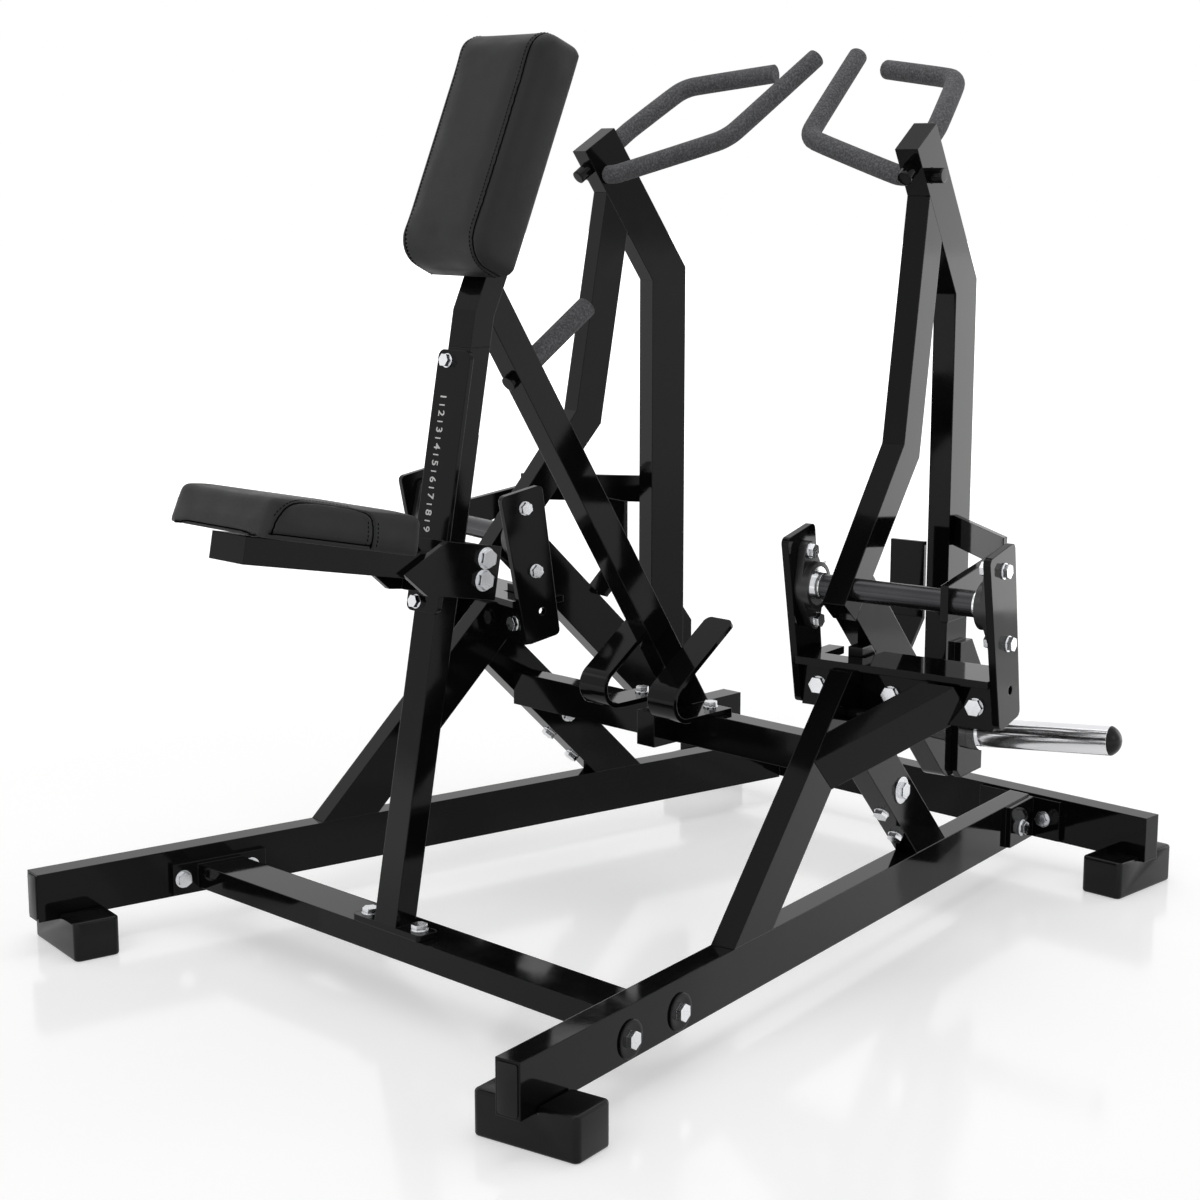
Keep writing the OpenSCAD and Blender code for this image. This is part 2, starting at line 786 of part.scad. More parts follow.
module frame_bolts() {
    bolt_v = (cross_y + tube_d / 2) / cos(toe) + tube_w / 2 * tan(toe);
    beam_bolt_x = rail_x(0, flange_y) + flange_reach / 2;
    leaf_z = box_top + rest_t;
    color("#c9ccd0") {
        for (s = [0, 1]) mirror([s, 0, 0]) {
            side_frame() {
                for (v = [-63, 63]) translate([0, bolt_v + v, cross_z + tube_w / 2]) {
                    rotate([0, 90, 0]) hex_bolt(24, 55);
                    translate([-tube_w - end_plate_t, 0, 0]) rotate([0, -90, 0]) hex_bolt();
                }
                for (z = [-1, 1]) {
                    at_plate(inner_u + ear_t) translate([0, 0, z * flange_bolts / 2])
                        rotate([0, 90, 0]) hex_bolt(20, 25);
                    at_plate(inner_u - plate_t) translate([0, 0, z * flange_bolts / 2])
                        rotate([0, -90, 0]) hex_bolt(20, 25);
                    at_plate(outer_u + plate_t) translate([0, 0, z * flange_bolts / 2])
                        rotate([0, 90, 0]) hex_bolt(20, 25);
                    at_plate(outer_u - ear_t) translate([0, 0, z * flange_bolts / 2])
                        rotate([0, -90, 0]) hex_bolt(20, 25);
                }
                for (u = [inner_u + 30, 51, outer_u - 30])
                    translate([u, web_v, shelf_z - web_h / 2]) rotate([90, 0, 0]) hex_bolt(24, 28);
                for (z = [39, 90]) translate([-tube_w / 2, 0, 0])
                    translate([0, at(rear_strut_front, rail_top + z)[0], rail_top + z])
                    rotate([90 + rear_strut_lean, 0, 0]) hex_bolt(22, 26);
                translate([0, at(rear_strut_front, 261)[0] + 60, 261]) {
                    rotate([0, 90, 0]) hex_bolt(24, 45);
                    translate([-tube_w, 0, 0]) rotate([0, -90, 0]) hex_bolt(24, 30);
                }
                translate([end_plate_t, (flange_y - 50) / cos(toe), cross_z + tube_w / 2])
                    rotate([0, 90, 0]) hex_bolt();
            }
            translate([beam_bolt_x, flange_y, ground_gap + tube_d / 2]) rotate([90, 0, 0])
                hex_bolt();
            translate([rail_x(-tube_w, flange_y) - flange_reach / 2, flange_y,
                ground_gap + tube_d / 2]) rotate([90, 0, 0]) hex_bolt();
            translate([1.16 * post_w, post_y + post_d / 2, post_foot_z]) hex_bolt(22, 28);
            translate([rest_x + rest_w / 2, beam_front_y + tube_w / 2, leaf_z]) hex_bolt(20, 25);
        }
        post_frame() for (z = [15, guide_l - 17])
            translate([-13, -guide_t, guide_start + z])
            rotate([90, 0, 0]) hex_bolt(18, 22);
    }
}

// ---- Levers ----

module rear_tube() {
    top = at(head_front, head_bend_z) + head_l * [-sin(head_lean), cos(head_lean)];
    carrier_v = pivot_v + horn_v - carrier_w + 36;
    carrier_top = shelf_z - 20;
    carrier_low = pivot_z - horn_drop - 72;
    color("#1a1a1c") side_frame() difference() {
        union() {
            profile(lever_u, tube_w, [
                meet(rear_front, arm_top), [rear_tube_v, head_bend_z], top,
                top + rear_tube_d * [cos(head_lean), sin(head_lean)],
                meet(head_rear, rear_rear), meet(rear_rear, arm_top)
            ]);
            profile(lever_out, carrier_t, [
                [carrier_v, carrier_top], [carrier_v, carrier_low + 14], [carrier_v + 14, carrier_low],
                [carrier_v + carrier_w, carrier_low], [carrier_v + carrier_w, 400],
                [rear_tube_v + rear_tube_d, carrier_top]
            ]);
        }
        bar_bore(lateral_n, lateral_path);
        bar_bore(long_n, long_path);
    }
}

module front_tube() {
    color("#1a1a1c") side_frame() difference() {
        profile(lever_u, tube_w, [
            meet(up_front, head_front), front_bend, low_end, low_rear_end, bend_rear,
            meet(up_rear, head_front)
        ]);
        round_bar(lever_u - 1, lever_out + 1, shaft_d + 2 * fit);
    }
}

module arm() {
    knee = tab_root + 64 * [sin(45), cos(45)];
    t = tab_t / 2;
    color("#1a1a1c") side_frame() union() {
        profile(lever_u, tube_w, [
            meet(arm_under, low_rear), meet(arm_top, low_rear),
            arm_end + arm_d / 2 * [sin(45), cos(45)], arm_end - arm_d / 2 * [sin(45), cos(45)]
        ]);
        translate([lever_u, arm_end[0], arm_end[1]]) rotate([0, 90, 0])
            cylinder(h = tube_w, d = arm_d);
        profile(lever_u - tab_out, tab_w, [
            tab_root + t * [-1, 1] / sqrt(2), knee + t * [-1, 0.41], knee + [-t, tab_h],
            knee + [t, tab_h], knee + t * [1, -0.41], tab_root + t * [1, -1] / sqrt(2)
        ]);
    }
}

module shaft() {
    inner_end = inner_u + housing_w + 10.5;
    outer_end = outer_u - housing_w - 10.5;
    color("#3a3c40") side_frame() union() {
        round_bar(inner_u + 0.5, outer_u - 0.5, shaft_d);
        round_bar(inner_end, lever_u, sleeve_d + 3);
        round_bar(lever_out, lug_u, sleeve_d);
        round_bar(lug_u + lug_t, outer_end, sleeve_d + 4);
    }
}

module bearing_insert() {
    difference() {
        rotate([0, 90, 0]) union() {
            translate([0, 0, 5]) cylinder(h = housing_w - 6, d = insert_d - 2 * fit);
            cylinder(h = housing_w + 10, d = shaft_d + 14);
        }
        rotate([0, 90, 0]) cylinder(h = 3 * housing_w, d = shaft_d + 2 * fit, center = true);
    }
}

module bearing_inserts() {
    color("#d6d8db") side_frame() {
        translate([inner_u, pivot_v, pivot_z]) translate([0.5, 0, 0])
            bearing_insert();
        translate([outer_u, pivot_v, pivot_z]) rotate([0, 0, 180]) translate([0.5, 0, 0])
            bearing_insert();
    }
}

module brace() {
    mid_z = pivot_z + 52;
    bar_v = rear_tube_v + 10 * sqrt(2);
    reach = lug_u + lug_t - lever_out;
    color("#1a1a1c") side_frame() difference() {
        union() {
            profile(lug_u, lug_t, [
                [pivot_v - 28, pivot_z - 28], [pivot_v - 28, pivot_z + 28],
                [bar_v - reach + 10, mid_z + brace_h / 2 - 20],
                [bar_v - reach + 10, mid_z - brace_h / 2], [pivot_v + 30, pivot_z - 28]
            ]);
            translate([0, 0, mid_z - brace_h / 2]) linear_extrude(brace_h) polygon([
                [lever_out, bar_v], [lever_out + reach, bar_v - reach],
                [lever_out + reach, bar_v - reach + brace_t * sqrt(2)],
                [lever_out, bar_v + brace_t * sqrt(2)]
            ]);
        }
        round_bar(lug_u - 1, lug_u + lug_t + 1, shaft_d + 2 * fit);
    }
}

module on_horn_axis() {
    translate([lever_out + carrier_t, pivot_v + horn_v, pivot_z - horn_drop])
        rotate([0, 90 - horn_tilt, 0]) children();
}

module horn() {
    base_u = lever_out + carrier_t;
    color("#d9dbde") side_frame() difference() {
        on_horn_axis() union() {
            translate([0, 0, -8]) cylinder(h = 8 + collar_w, d = collar_d);
            cylinder(h = collar_w + horn_l, d = horn_d);
        }
        translate([base_u - 50, pivot_v + horn_v - 60, pivot_z - horn_drop - 60])
            cube([50, 120, 120]);
    }
}

// The cap is no wider than the sleeve, so that a plate slides over it
module horn_cap() {
    r = horn_d / 2;
    color("#111112") side_frame() on_horn_axis() translate([0, 0, collar_w + horn_l])
        rotate_extrude() intersection() {
            translate([0, -r * 0.4]) circle(r * 1.08);
            square([r, r]);
        }
}

module handle_bar(n, path, d) {
    in_handle_plane(n) bent_bar(path, d);
}

// The long handle's bends droop toward the middle, about the line of its first stretch
module long_bar(path, d) {
    in_handle_plane(long_n) translate([long_path[0][0], 0, 0]) rotate([0, -long_droop, 0])
        translate([-long_path[0][0], 0, 0]) bent_bar(path, d);
}

module handle_bars() {
    color("#111112") side_frame() {
        handle_bar(lateral_n, lateral_path, bar_d);
        long_bar(long_path, bar_d);
    }
}

// The path of a grip: from its start beside the lever tube to just past the bar's end
function cover(path, start) = let (last = len(path) - 1) [
    for (i = [0 : last]) i == 0 ? start : i < last ? path[i]
        : path[last] + 6 * (path[last] - path[last - 1]) / norm(path[last] - path[last - 1])
];

module grips() {
    head_back = at(head_front, head_bend_z) + rear_tube_d * [cos(head_lean), sin(head_lean)];
    back_e = head_back[0] * cos(handle_slope) + head_back[1] * sin(handle_slope) + 16;
    bore_d = bar_d + 2 * fit;
    color("#2b2c2e") side_frame() {
        difference() {
            handle_bar(lateral_n, cover(lateral_path, [lever_u - gap, lateral_path[0][1]]), grip_d);
            handle_bar(lateral_n, lateral_path, bore_d);
        }
        difference() {
            long_bar(cover(long_path, [long_path[0][0], back_e]), grip_d);
            long_bar(long_path, bore_d);
        }
    }
}

// ---- Seat ----

module seat_frame() {
    translate([0, seat_y, seat_z]) rotate([-seat_tilt, 0, 0]) children();
}

function post_point(y, z) = [
    post_y + y * cos(post_lean) + z * sin(post_lean),
    post_foot_z - y * sin(post_lean) + z * cos(post_lean)
];

module seat_carriage() {
    side = seat_tube_w / 2 + carriage_wall;
    front = -guide_t - gap - carriage_wall;
    back = post_d + rack_t + gap + carriage_wall;
    h = carriage_h;
    tail = post_d + carriage_tail;
    nose = post_point(front, carriage_start);
    color("#1a1a1c") union() {
        post_frame() difference() {
            translate([-side, front, carriage_start]) cube([2 * side, back - front, h]);
            translate([-post_w / 2 - guide_side - gap, -guide_t - gap, carriage_start - 1])
                cube([post_w + 2 * guide_side + 2 * gap, guide_t + 2 * gap, h + 2]);
            translate([-post_w / 2 - gap, -gap, carriage_start - 1])
                cube([post_w + 2 * gap, post_d + 2 * gap, h + 2]);
            translate([-rack_w / 2 - gap, 0, carriage_start - 1])
                cube([rack_w + 2 * gap, post_d + rack_t + gap, h + 2]);
        }
        post_frame() for (x = [-side, side - carriage_wall])
            translate([x, back, carriage_start]) cube([carriage_wall, tail - back, h]);
        for (x = [-seat_tube_w / 2 - carriage_wall, seat_tube_w / 2])
            profile(x, carriage_wall, [
                post_point(front, carriage_start + h), nose,
                [nose[0] - 24, nose[1] + 3], [nose[0] - 70, nose[1] + 42]
            ]);
    }
}

module seat_tube() {
    front = -guide_t - gap - carriage_wall;
    sleeve_face = shift(post_front, front);
    top_line = edge(seat_y, seat_z, seat_tilt - 90);
    under_line = shift(top_line, -tube_w);
    under_front = [seat_y - tube_w * sin(seat_tilt), seat_z - tube_w * cos(seat_tilt)];
    color("#1a1a1c") profile(-seat_tube_w / 2, seat_tube_w, [
        [seat_y, seat_z], meet(top_line, sleeve_face), meet(under_line, sleeve_face), under_front
    ]);
}

module seat_board() {
    w = seat_w - 2 * board_inset;
    l = seat_l - 2 * board_inset;
    color("#121213") seat_frame() translate([0, seat_l / 2 - 8, 0]) linear_extrude(board_t)
        rounded_rect(w, l, 24);
}

module seat_pad() {
    color("#26272a") seat_frame() translate([0, seat_l / 2 - 8, board_t + gap])
        linear_extrude(seat_t) rounded_rect(seat_w, seat_l, 30);
}

module seat_bolts() {
    right = seat_tube_w / 2 + carriage_wall;
    color("#c9ccd0") post_frame() for (z = [30, 64])
        translate([right, post_d + 24, carriage_start + z]) rotate([0, 90, 0]) hex_bolt(26, 34);
}

left() rail();  // left_rail
right() rail();  // right_rail
right() front_cross_tube();
right() rear_beam();
right() rubber_feet();
left() front_strut();  // left_front_strut
right() front_strut();  // right_front_strut
left() rear_strut();  // left_rear_strut
right() rear_strut();  // right_rear_strut
left() branch_tube();  // left_branch_tube
right() branch_tube();  // right_branch_tube
left() bracket_plate(inner_u - plate_t);  // left_inner_plate
right() bracket_plate(inner_u - plate_t);  // right_inner_plate
left() bracket_plate(outer_u);  // left_outer_plate
right() bracket_plate(outer_u);  // right_outer_plate
left() shelf();  // left_shelf
right() shelf();  // right_shelf
left() bearings();  // left_bearings
right() bearings();  // right_bearings
left() cross_beam();  // left_cross_beam
right() cross_beam();  // right_cross_beam
left() foot_rest();  // left_foot_rest
right() foot_rest();  // right_foot_rest
right() seat_post();
right() guide_plate();
right() chest_tube();
right() chest_board();
right() chest_pad();
right() centre_strut();
right() chest_bar();
right() chest_grip();
right() centre_box();
right() band_pegs();
right() lever_stops();
right() frame_bolts();
left() front_tube();  // left_front_tube
right() front_tube();  // right_front_tube
left() rear_tube();  // left_rear_tube
right() rear_tube();  // right_rear_tube
left() arm();  // left_arm
right() arm();  // right_arm
left() shaft();  // left_shaft
right() shaft();  // right_shaft
left() bearing_inserts();  // left_bearing_inserts
right() bearing_inserts();  // right_bearing_inserts
left() brace();  // left_brace
right() brace();  // right_brace
left() horn();  // left_horn
right() horn();  // right_horn
left() horn_cap();  // left_horn_cap
right() horn_cap();  // right_horn_cap
left() handle_bars();  // left_handle_bars
right() handle_bars();  // right_handle_bars
left() grips();  // left_grips
right() grips();  // right_grips
right() seat_carriage();
right() seat_tube();
right() seat_board();
right() seat_pad();
right() seat_bolts();
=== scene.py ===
"""Finishes, upholstery and small details of a plate-loaded seated row, built on its CAD frame."""
import json
import logging
import math
from contextlib import contextmanager
from dataclasses import dataclass, field
from enum import Enum
from typing import Callable, Iterable, Iterator, NamedTuple, Sequence

import bpy
from mathutils import Matrix, Vector
from mathutils.kdtree import KDTree

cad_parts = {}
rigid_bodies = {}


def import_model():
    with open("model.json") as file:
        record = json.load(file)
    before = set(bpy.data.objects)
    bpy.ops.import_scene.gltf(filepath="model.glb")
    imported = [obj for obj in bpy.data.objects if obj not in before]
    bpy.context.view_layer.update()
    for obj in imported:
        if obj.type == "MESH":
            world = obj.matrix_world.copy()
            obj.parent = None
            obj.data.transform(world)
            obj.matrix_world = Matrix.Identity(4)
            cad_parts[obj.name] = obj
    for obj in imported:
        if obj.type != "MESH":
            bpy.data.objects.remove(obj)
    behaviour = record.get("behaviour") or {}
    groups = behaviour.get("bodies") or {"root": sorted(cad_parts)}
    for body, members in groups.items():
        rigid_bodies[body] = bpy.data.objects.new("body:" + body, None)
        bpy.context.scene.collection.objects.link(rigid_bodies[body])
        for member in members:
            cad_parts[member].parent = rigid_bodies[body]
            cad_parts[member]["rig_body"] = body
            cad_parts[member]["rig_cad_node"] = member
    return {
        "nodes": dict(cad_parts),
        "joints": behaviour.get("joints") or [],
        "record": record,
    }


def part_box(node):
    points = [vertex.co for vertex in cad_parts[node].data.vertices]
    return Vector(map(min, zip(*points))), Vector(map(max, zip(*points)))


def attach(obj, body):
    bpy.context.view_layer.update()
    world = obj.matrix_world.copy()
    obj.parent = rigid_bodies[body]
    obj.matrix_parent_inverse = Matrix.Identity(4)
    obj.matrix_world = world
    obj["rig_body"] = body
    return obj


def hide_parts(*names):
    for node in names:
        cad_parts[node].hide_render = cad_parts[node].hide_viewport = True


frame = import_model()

logging.basicConfig(level=logging.INFO, format="%(message)s")
LOG = logging.getLogger("row")

MM = 0.001
HAIR = 0.1 * MM
PATH_STEP = 1.5 * MM
# Cells per metre of the patterns that vary tone, shine and wear
TONE_SCALE, SHINE_SCALE, WEAR_SCALE = 9.0, 26.0, 38.0
EDGES_ONLY = (False, True, False)
FACES_ONLY = (False, False, True)
X_AXIS = Vector((1.0, 0.0, 0.0))
Colour = tuple[float, float, float]
Pair = tuple[float, float]
Piece = bpy.types.Object
Socket = bpy.types.NodeSocket


class Grain(Enum):
    """The kinds of fine relief that a finish can have."""

    ORANGE_PEEL = "orange peel"
    LEATHER = "leather"
    FOAM = "foam"
    CAST = "cast"
    BRUSHED = "brushed"


class Side(Enum):
    """The two mirrored halves of the machine."""

    RIGHT = 1
    LEFT = -1

    @property
    def word(self) -> str:
        """The side's name as it stands in piece names."""
        return self.name.lower()


# ---- Finishes ----


class NodeSheet:
    """Adds and links the shader nodes of one material."""

    def __init__(self, name: str) -> None:
        """Starts a material that holds one Principled shader.

        Args:
            name: The material's name.
        """
        self.material = bpy.data.materials.new(name)
        self.material.use_nodes = True
        self.tree = self.material.node_tree
        self.shader = self.tree.nodes["Principled BSDF"]
        place = self.tree.nodes.new("ShaderNodeTexCoord")
        self.place = place.outputs["Object"]

    def add(self, kind: str, **settings: object) -> bpy.types.Node:
        """Adds a node.

        Args:
            kind: The node's type without its ShaderNode prefix.
            settings: Attributes of the node, or values of its inputs.

        Returns:
            The new node.
        """
        node = self.tree.nodes.new("ShaderNode" + kind)
        for key, value in settings.items():
            if hasattr(node, key):
                setattr(node, key, value)
            else:
                node.inputs[key.replace("_", " ").title()].default_value = value
        return node

    def link(self, source: Socket, target: Socket) -> None:
        """Joins an output to an input."""
        self.tree.links.new(source, target)

    def maths(self, operation: str, *sources: Socket, kind: str = "VectorMath") -> bpy.types.Node:
        """Adds a node that works on one or two sockets.

        Args:
            operation: What it works out.
            sources: The sockets that feed it.
            kind: The node's type without its ShaderNode prefix.

        Returns:
            The new node.
        """
        node = self.add(kind, operation=operation)
        for source, target in zip(sources, node.inputs):
            self.link(source, target)
        return node

    def noise(self, scale: float, detail: float = 3.0,
              stretch: Vector | None = None) -> Socket:
        """Adds a noise pattern on the object's own coordinates.

        Args:
            scale: Cells per metre.
            detail: Octaves of the noise.
            stretch: Scale on each axis, for brushed marks.

        Returns:
            The pattern's factor.
        """
        node = self.add("TexNoise", scale=scale, detail=detail)
        source = self.place
        if stretch is not None:
            mapping = self.add("Mapping")
            mapping.inputs["Scale"].default_value = stretch
            self.link(self.place, mapping.inputs["Vector"])
            source = mapping.outputs["Vector"]
        self.link(source, node.inputs["Vector"])
        return node.outputs["Fac"]

    def spread(self, source: Socket, low: float, high: float,
               start: float = 0.3, end: float = 0.7) -> Socket:
        """Maps a pattern's middle range to a wanted range.

        Args:
            source: The pattern.
            low: Value at the range's start.
            high: Value at the range's end.
            start: Pattern value that gives low.
            end: Pattern value that gives high.

        Returns:
            The mapped value.
        """
        node = self.add("MapRange")
        for key, value in (("From Min", start), ("From Max", end), ("To Min", low),
                           ("To Max", high)):
            node.inputs[key].default_value = value
        self.link(source, node.inputs["Value"])
        return node.outputs["Result"]

    def blend(self, fac: Socket, first: object,
              second: object) -> Socket:
        """Mixes two colours.

        Args:
            fac: The share of the second colour.
            first: A colour, or the socket that gives it.
            second: A colour, or the socket that gives it.

        Returns:
            The mixed colour.
        """
        node = self.add("Mix", data_type="RGBA")
        self.link(fac, node.inputs[0])
        for value, socket in ((first, node.inputs[6]), (second, node.inputs[7])):
            if isinstance(value, Socket):
                self.link(value, socket)
            else:
                socket.default_value = (*value, 1.0)
        return node.outputs[2]


@dataclass(frozen=True)
class Finish:
    """A surface finish, and how it varies over the surface."""

    name: str
    colour: Colour
    roughness: float
    grain: Grain = Grain.ORANGE_PEEL
    grain_scale: float = 700.0
    grain_depth: float = 0.02 * MM
    variation: float = 0.15
    roughness_spread: float = 0.04
    metallic: float = 0.0
    specular: float = 0.5
    sheen: float = 0.0
    edge_radius: float = 0.0
    worn_colour: Colour | None = None

    def _relief(self, sheet: NodeSheet) -> Socket:
        """Lays out the height pattern of the grain.

        Args:
            sheet: The material's node sheet.

        Returns:
            The height.
        """
        if self.grain is Grain.LEATHER:
            cells = sheet.add("TexVoronoi", feature="DISTANCE_TO_EDGE", scale=self.grain_scale)
            wobble = sheet.add("TexNoise", scale=self.grain_scale * 0.6)
            sheet.link(sheet.place, wobble.inputs["Vector"])
            warp = sheet.maths("SCALE", wobble.outputs["Color"])
            warp.inputs["Scale"].default_value = 0.9 / self.grain_scale
            sheet.link(sheet.maths("ADD", sheet.place, warp.outputs[0]).outputs[0],
                       cells.inputs["Vector"])
            return sheet.spread(cells.outputs["Distance"], 0.0, 1.0, 0.0, 0.25)
        if self.grain is Grain.FOAM:
            cells = sheet.add("TexVoronoi", scale=self.grain_scale)
            sheet.link(sheet.place, cells.inputs["Vector"])
            return cells.outputs["Distance"]
        if self.grain is Grain.BRUSHED:
            return sheet.noise(self.grain_scale, 2.0, Vector((1.0, 0.06, 1.0)))
        return sheet.noise(self.grain_scale, 4.0 if self.grain is Grain.CAST else 1.0)

    def material(self) -> bpy.types.Material:
        """Builds the material.

        Returns:
            The new material.
        """
        sheet = NodeSheet(self.name)
        shader = sheet.shader.inputs
        for key, value in (("Metallic", self.metallic), ("Specular IOR Level", self.specular),
                           ("Sheen Weight", self.sheen)):
            shader[key].default_value = value
        low = tuple(c * (1.0 - self.variation) for c in self.colour)
        high = tuple(min(1.0, c * (1.0 + self.variation)) for c in self.colour)
        colour = sheet.blend(sheet.spread(sheet.noise(TONE_SCALE), 0.0, 1.0), low, high)
        height = self._relief(sheet)
        if self.grain is Grain.FOAM:
            specks = sheet.spread(sheet.noise(self.grain_scale * 1.2, 3.0), 0.0, 0.8, 0.42, 0.7)
            colour = sheet.blend(specks, colour, tuple(min(1.0, c * 2.4) for c in self.colour))
        bump = sheet.add("Bump")
        bump.inputs["Strength"].default_value = 1.0
        bump.inputs["Distance"].default_value = self.grain_depth
        sheet.link(height, bump.inputs["Height"])
        if self.edge_radius:
            rounding = sheet.add("Bevel", samples=6)
            rounding.inputs["Radius"].default_value = self.edge_radius
            sheet.link(rounding.outputs["Normal"], bump.inputs["Normal"])
            if self.worn_colour is not None:
                flat = sheet.add("NewGeometry")
                facing = sheet.maths("DOT_PRODUCT", rounding.outputs["Normal"],
                                     flat.outputs["Normal"])
                edge = sheet.spread(facing.outputs["Value"], 0.7, 0.0, 0.86, 0.985)
                spots = sheet.spread(sheet.noise(WEAR_SCALE), 0.0, 1.0, 0.5, 0.68)
                patch = sheet.maths("MULTIPLY", edge, spots, kind="Math")
                colour = sheet.blend(patch.outputs[0], colour, self.worn_colour)
        sheet.link(bump.outputs["Normal"], shader["Normal"])
        sheet.link(colour, shader["Base Color"])
        rough = sheet.spread(sheet.noise(SHINE_SCALE),
                             max(0.02, self.roughness - self.roughness_spread),
                             self.roughness + self.roughness_spread)
        sheet.link(rough, shader["Roughness"])
        LOG.info("finish %s", self.name)
        return sheet.material


FINISHES: dict[str, Finish] = {finish.name: finish for finish in (
    Finish("black_paint", (0.0042, 0.0042, 0.0046), 0.07, grain_scale=260.0,
           grain_depth=0.006 * MM, roughness_spread=0.02, specular=0.13, edge_radius=2.2 * MM,
           worn_colour=(0.016, 0.016, 0.017)),
    Finish("upholstery", (0.0175, 0.0175, 0.0183), 0.46, Grain.LEATHER, 620.0, 0.12 * MM, 0.14,
           0.05, specular=0.2),
    Finish("board", (0.009, 0.009, 0.009), 0.62, Grain.CAST, 900.0, 0.05 * MM,
           edge_radius=1.5 * MM),
    Finish("rubber", (0.0045, 0.0045, 0.005), 0.2, Grain.CAST, 500.0, 0.03 * MM, specular=0.18,
           edge_radius=3.0 * MM),
    Finish("foam_grip", (0.082, 0.082, 0.087), 0.9, Grain.FOAM, 240.0, 0.9 * MM, 0.2, 0.05,
           specular=0.25, sheen=0.08),
    Finish("zinc", (0.72, 0.73, 0.75), 0.24, Grain.CAST, 350.0, 0.02 * MM, 0.1, 0.07,
           metallic=1.0, edge_radius=0.8 * MM),
    Finish("bearing_steel", (0.78, 0.79, 0.8), 0.17, Grain.BRUSHED, 900.0, 0.01 * MM, 0.05, 0.04,
           metallic=1.0, edge_radius=0.6 * MM),
    Finish("bearing_housing", (0.013, 0.013, 0.014), 0.34, Grain.CAST, 260.0, 0.12 * MM,
           edge_radius=2.0 * MM),
    Finish("shaft_steel", (0.05, 0.05, 0.054), 0.24, Grain.BRUSHED, 800.0, 0.01 * MM,
           metallic=0.8, edge_radius=0.8 * MM),
    Finish("chrome", (0.8, 0.8, 0.82), 0.15, Grain.ORANGE_PEEL, 120.0, 0.006 * MM, 0.03, 0.02,
           metallic=1.0, edge_radius=0.8 * MM),
    Finish("cap", (0.006, 0.006, 0.0064), 0.24, Grain.ORANGE_PEEL, 500.0, 0.02 * MM, specular=0.2),
    # Near-black: the stitches' own dark thread colour, and painted shade on the lines laid along
    # each seam groove.
    Finish("thread", (0.0008, 0.0008, 0.0009), 0.95, Grain.CAST, 2500.0, 0.04 * MM, specular=0.02),
    Finish("white_mark", (0.8, 0.8, 0.79), 0.5, Grain.CAST, 1500.0, 0.01 * MM, 0.03),
)}


class Paint:
    """Keeps one material for each finish and puts it on pieces."""

    def __init__(self) -> None:
        """Starts with no material made."""
        self._made: dict[str, bpy.types.Material] = {}

    def material(self, slot: str) -> bpy.types.Material:
        """The material of a finish, made once.

        Args:
            slot: The finish's name.

        Returns:
            The material.
        """
        if slot not in self._made:
            self._made[slot] = FINISHES[slot].material()
        return self._made[slot]

    def dress(self, piece: Piece, slot: str) -> None:
        """Gives every material slot of a piece the finish.

        Args:
            piece: The object to dress.
            slot: The finish's name.
        """
        material = self.material(slot)
        if not piece.material_slots:
            piece.data.materials.append(material)
        for place in piece.material_slots:
            place.material = material


PAINT = Paint()

# ---- Modelling steps ----

EdgeTest = Callable[[Vector, Vector], bool]


def take(*pieces: Piece) -> None:
    """Selects only these pieces and makes the first one active.

    Args:
        pieces: The pieces, or none to clear the selection.
    """
    if bpy.context.object and bpy.context.object.mode != "OBJECT":
        bpy.ops.object.mode_set(mode="OBJECT")
    for other in list(bpy.context.selected_objects):
        other.select_set(False)
    for piece in pieces:
        piece.select_set(True)
    bpy.context.view_layer.objects.active = pieces[0] if pieces else None


@contextmanager
def editing(piece: Piece, select_mode: tuple[bool, bool, bool]) -> Iterator[None]:
    """Opens a piece in Edit Mode and closes it afterwards.

    Args:
        piece: The piece.
        select_mode: Whether points, edges and faces are picked.
    """
    take(piece)
    bpy.context.tool_settings.mesh_select_mode = select_mode
    bpy.ops.object.mode_set(mode="EDIT")
    yield
    bpy.ops.object.mode_set(mode="OBJECT")


def rename(piece: Piece, name: str) -> Piece:
    """Names a piece and its mesh."""
    piece.name = piece.data.name = name
    return piece


def block(size: Sequence[float], centre: Sequence[float]) -> Piece:
    """Adds a block, with its scale applied.

    Args:
        size: Its size on each axis.
        centre: Its middle.

    Returns:
        The block.
    """
    take()
    bpy.ops.mesh.primitive_cube_add(size=1.0, location=centre)
    piece = bpy.context.object
    piece.scale = size
    bpy.ops.object.transform_apply()
    return piece


def rod(radius: float, depth: float, sides: int) -> Piece:
    """Adds an upright rod that stands on the origin.

    Args:
        radius: Its radius.
        depth: Its height.
        sides: Faces round it.

    Returns:
        The rod.
    """
    take()
    bpy.ops.mesh.primitive_cylinder_add(vertices=sides, radius=radius, depth=depth,
                                        location=(0.0, 0.0, depth / 2))
    piece = bpy.context.object
    bpy.ops.object.transform_apply()
    return piece


def bevel(piece: Piece, test: EdgeTest, width: float, segments: int) -> None:
    """Rounds the edges that a test picks.

    Args:
        piece: The piece.
        test: Says from an edge's two ends whether it is rounded.
        width: Width of the rounding.
        segments: Steps of the rounding.
    """
    mesh = piece.data
    for item in (*mesh.polygons, *mesh.vertices):
        item.select = False
    for edge in mesh.edges:
        first, second = (mesh.vertices[i].co for i in edge.vertices)
        edge.select = test(first, second)
    with editing(piece, EDGES_ONLY):
        bpy.ops.mesh.bevel(offset=width, segments=segments, clamp_overlap=True)


def inset_top(piece: Piece, *steps: Pair) -> None:
    """Insets the round face on top of a turned piece.

    Args:
        piece: The piece.
        steps: The width and the depth of each inset.
    """
    for face in piece.data.polygons:
        face.select = face.normal.z > 0.9 and len(face.vertices) > 8
    with editing(piece, FACES_ONLY):
        for width, depth in steps:
            bpy.ops.mesh.inset(thickness=width, depth=depth)


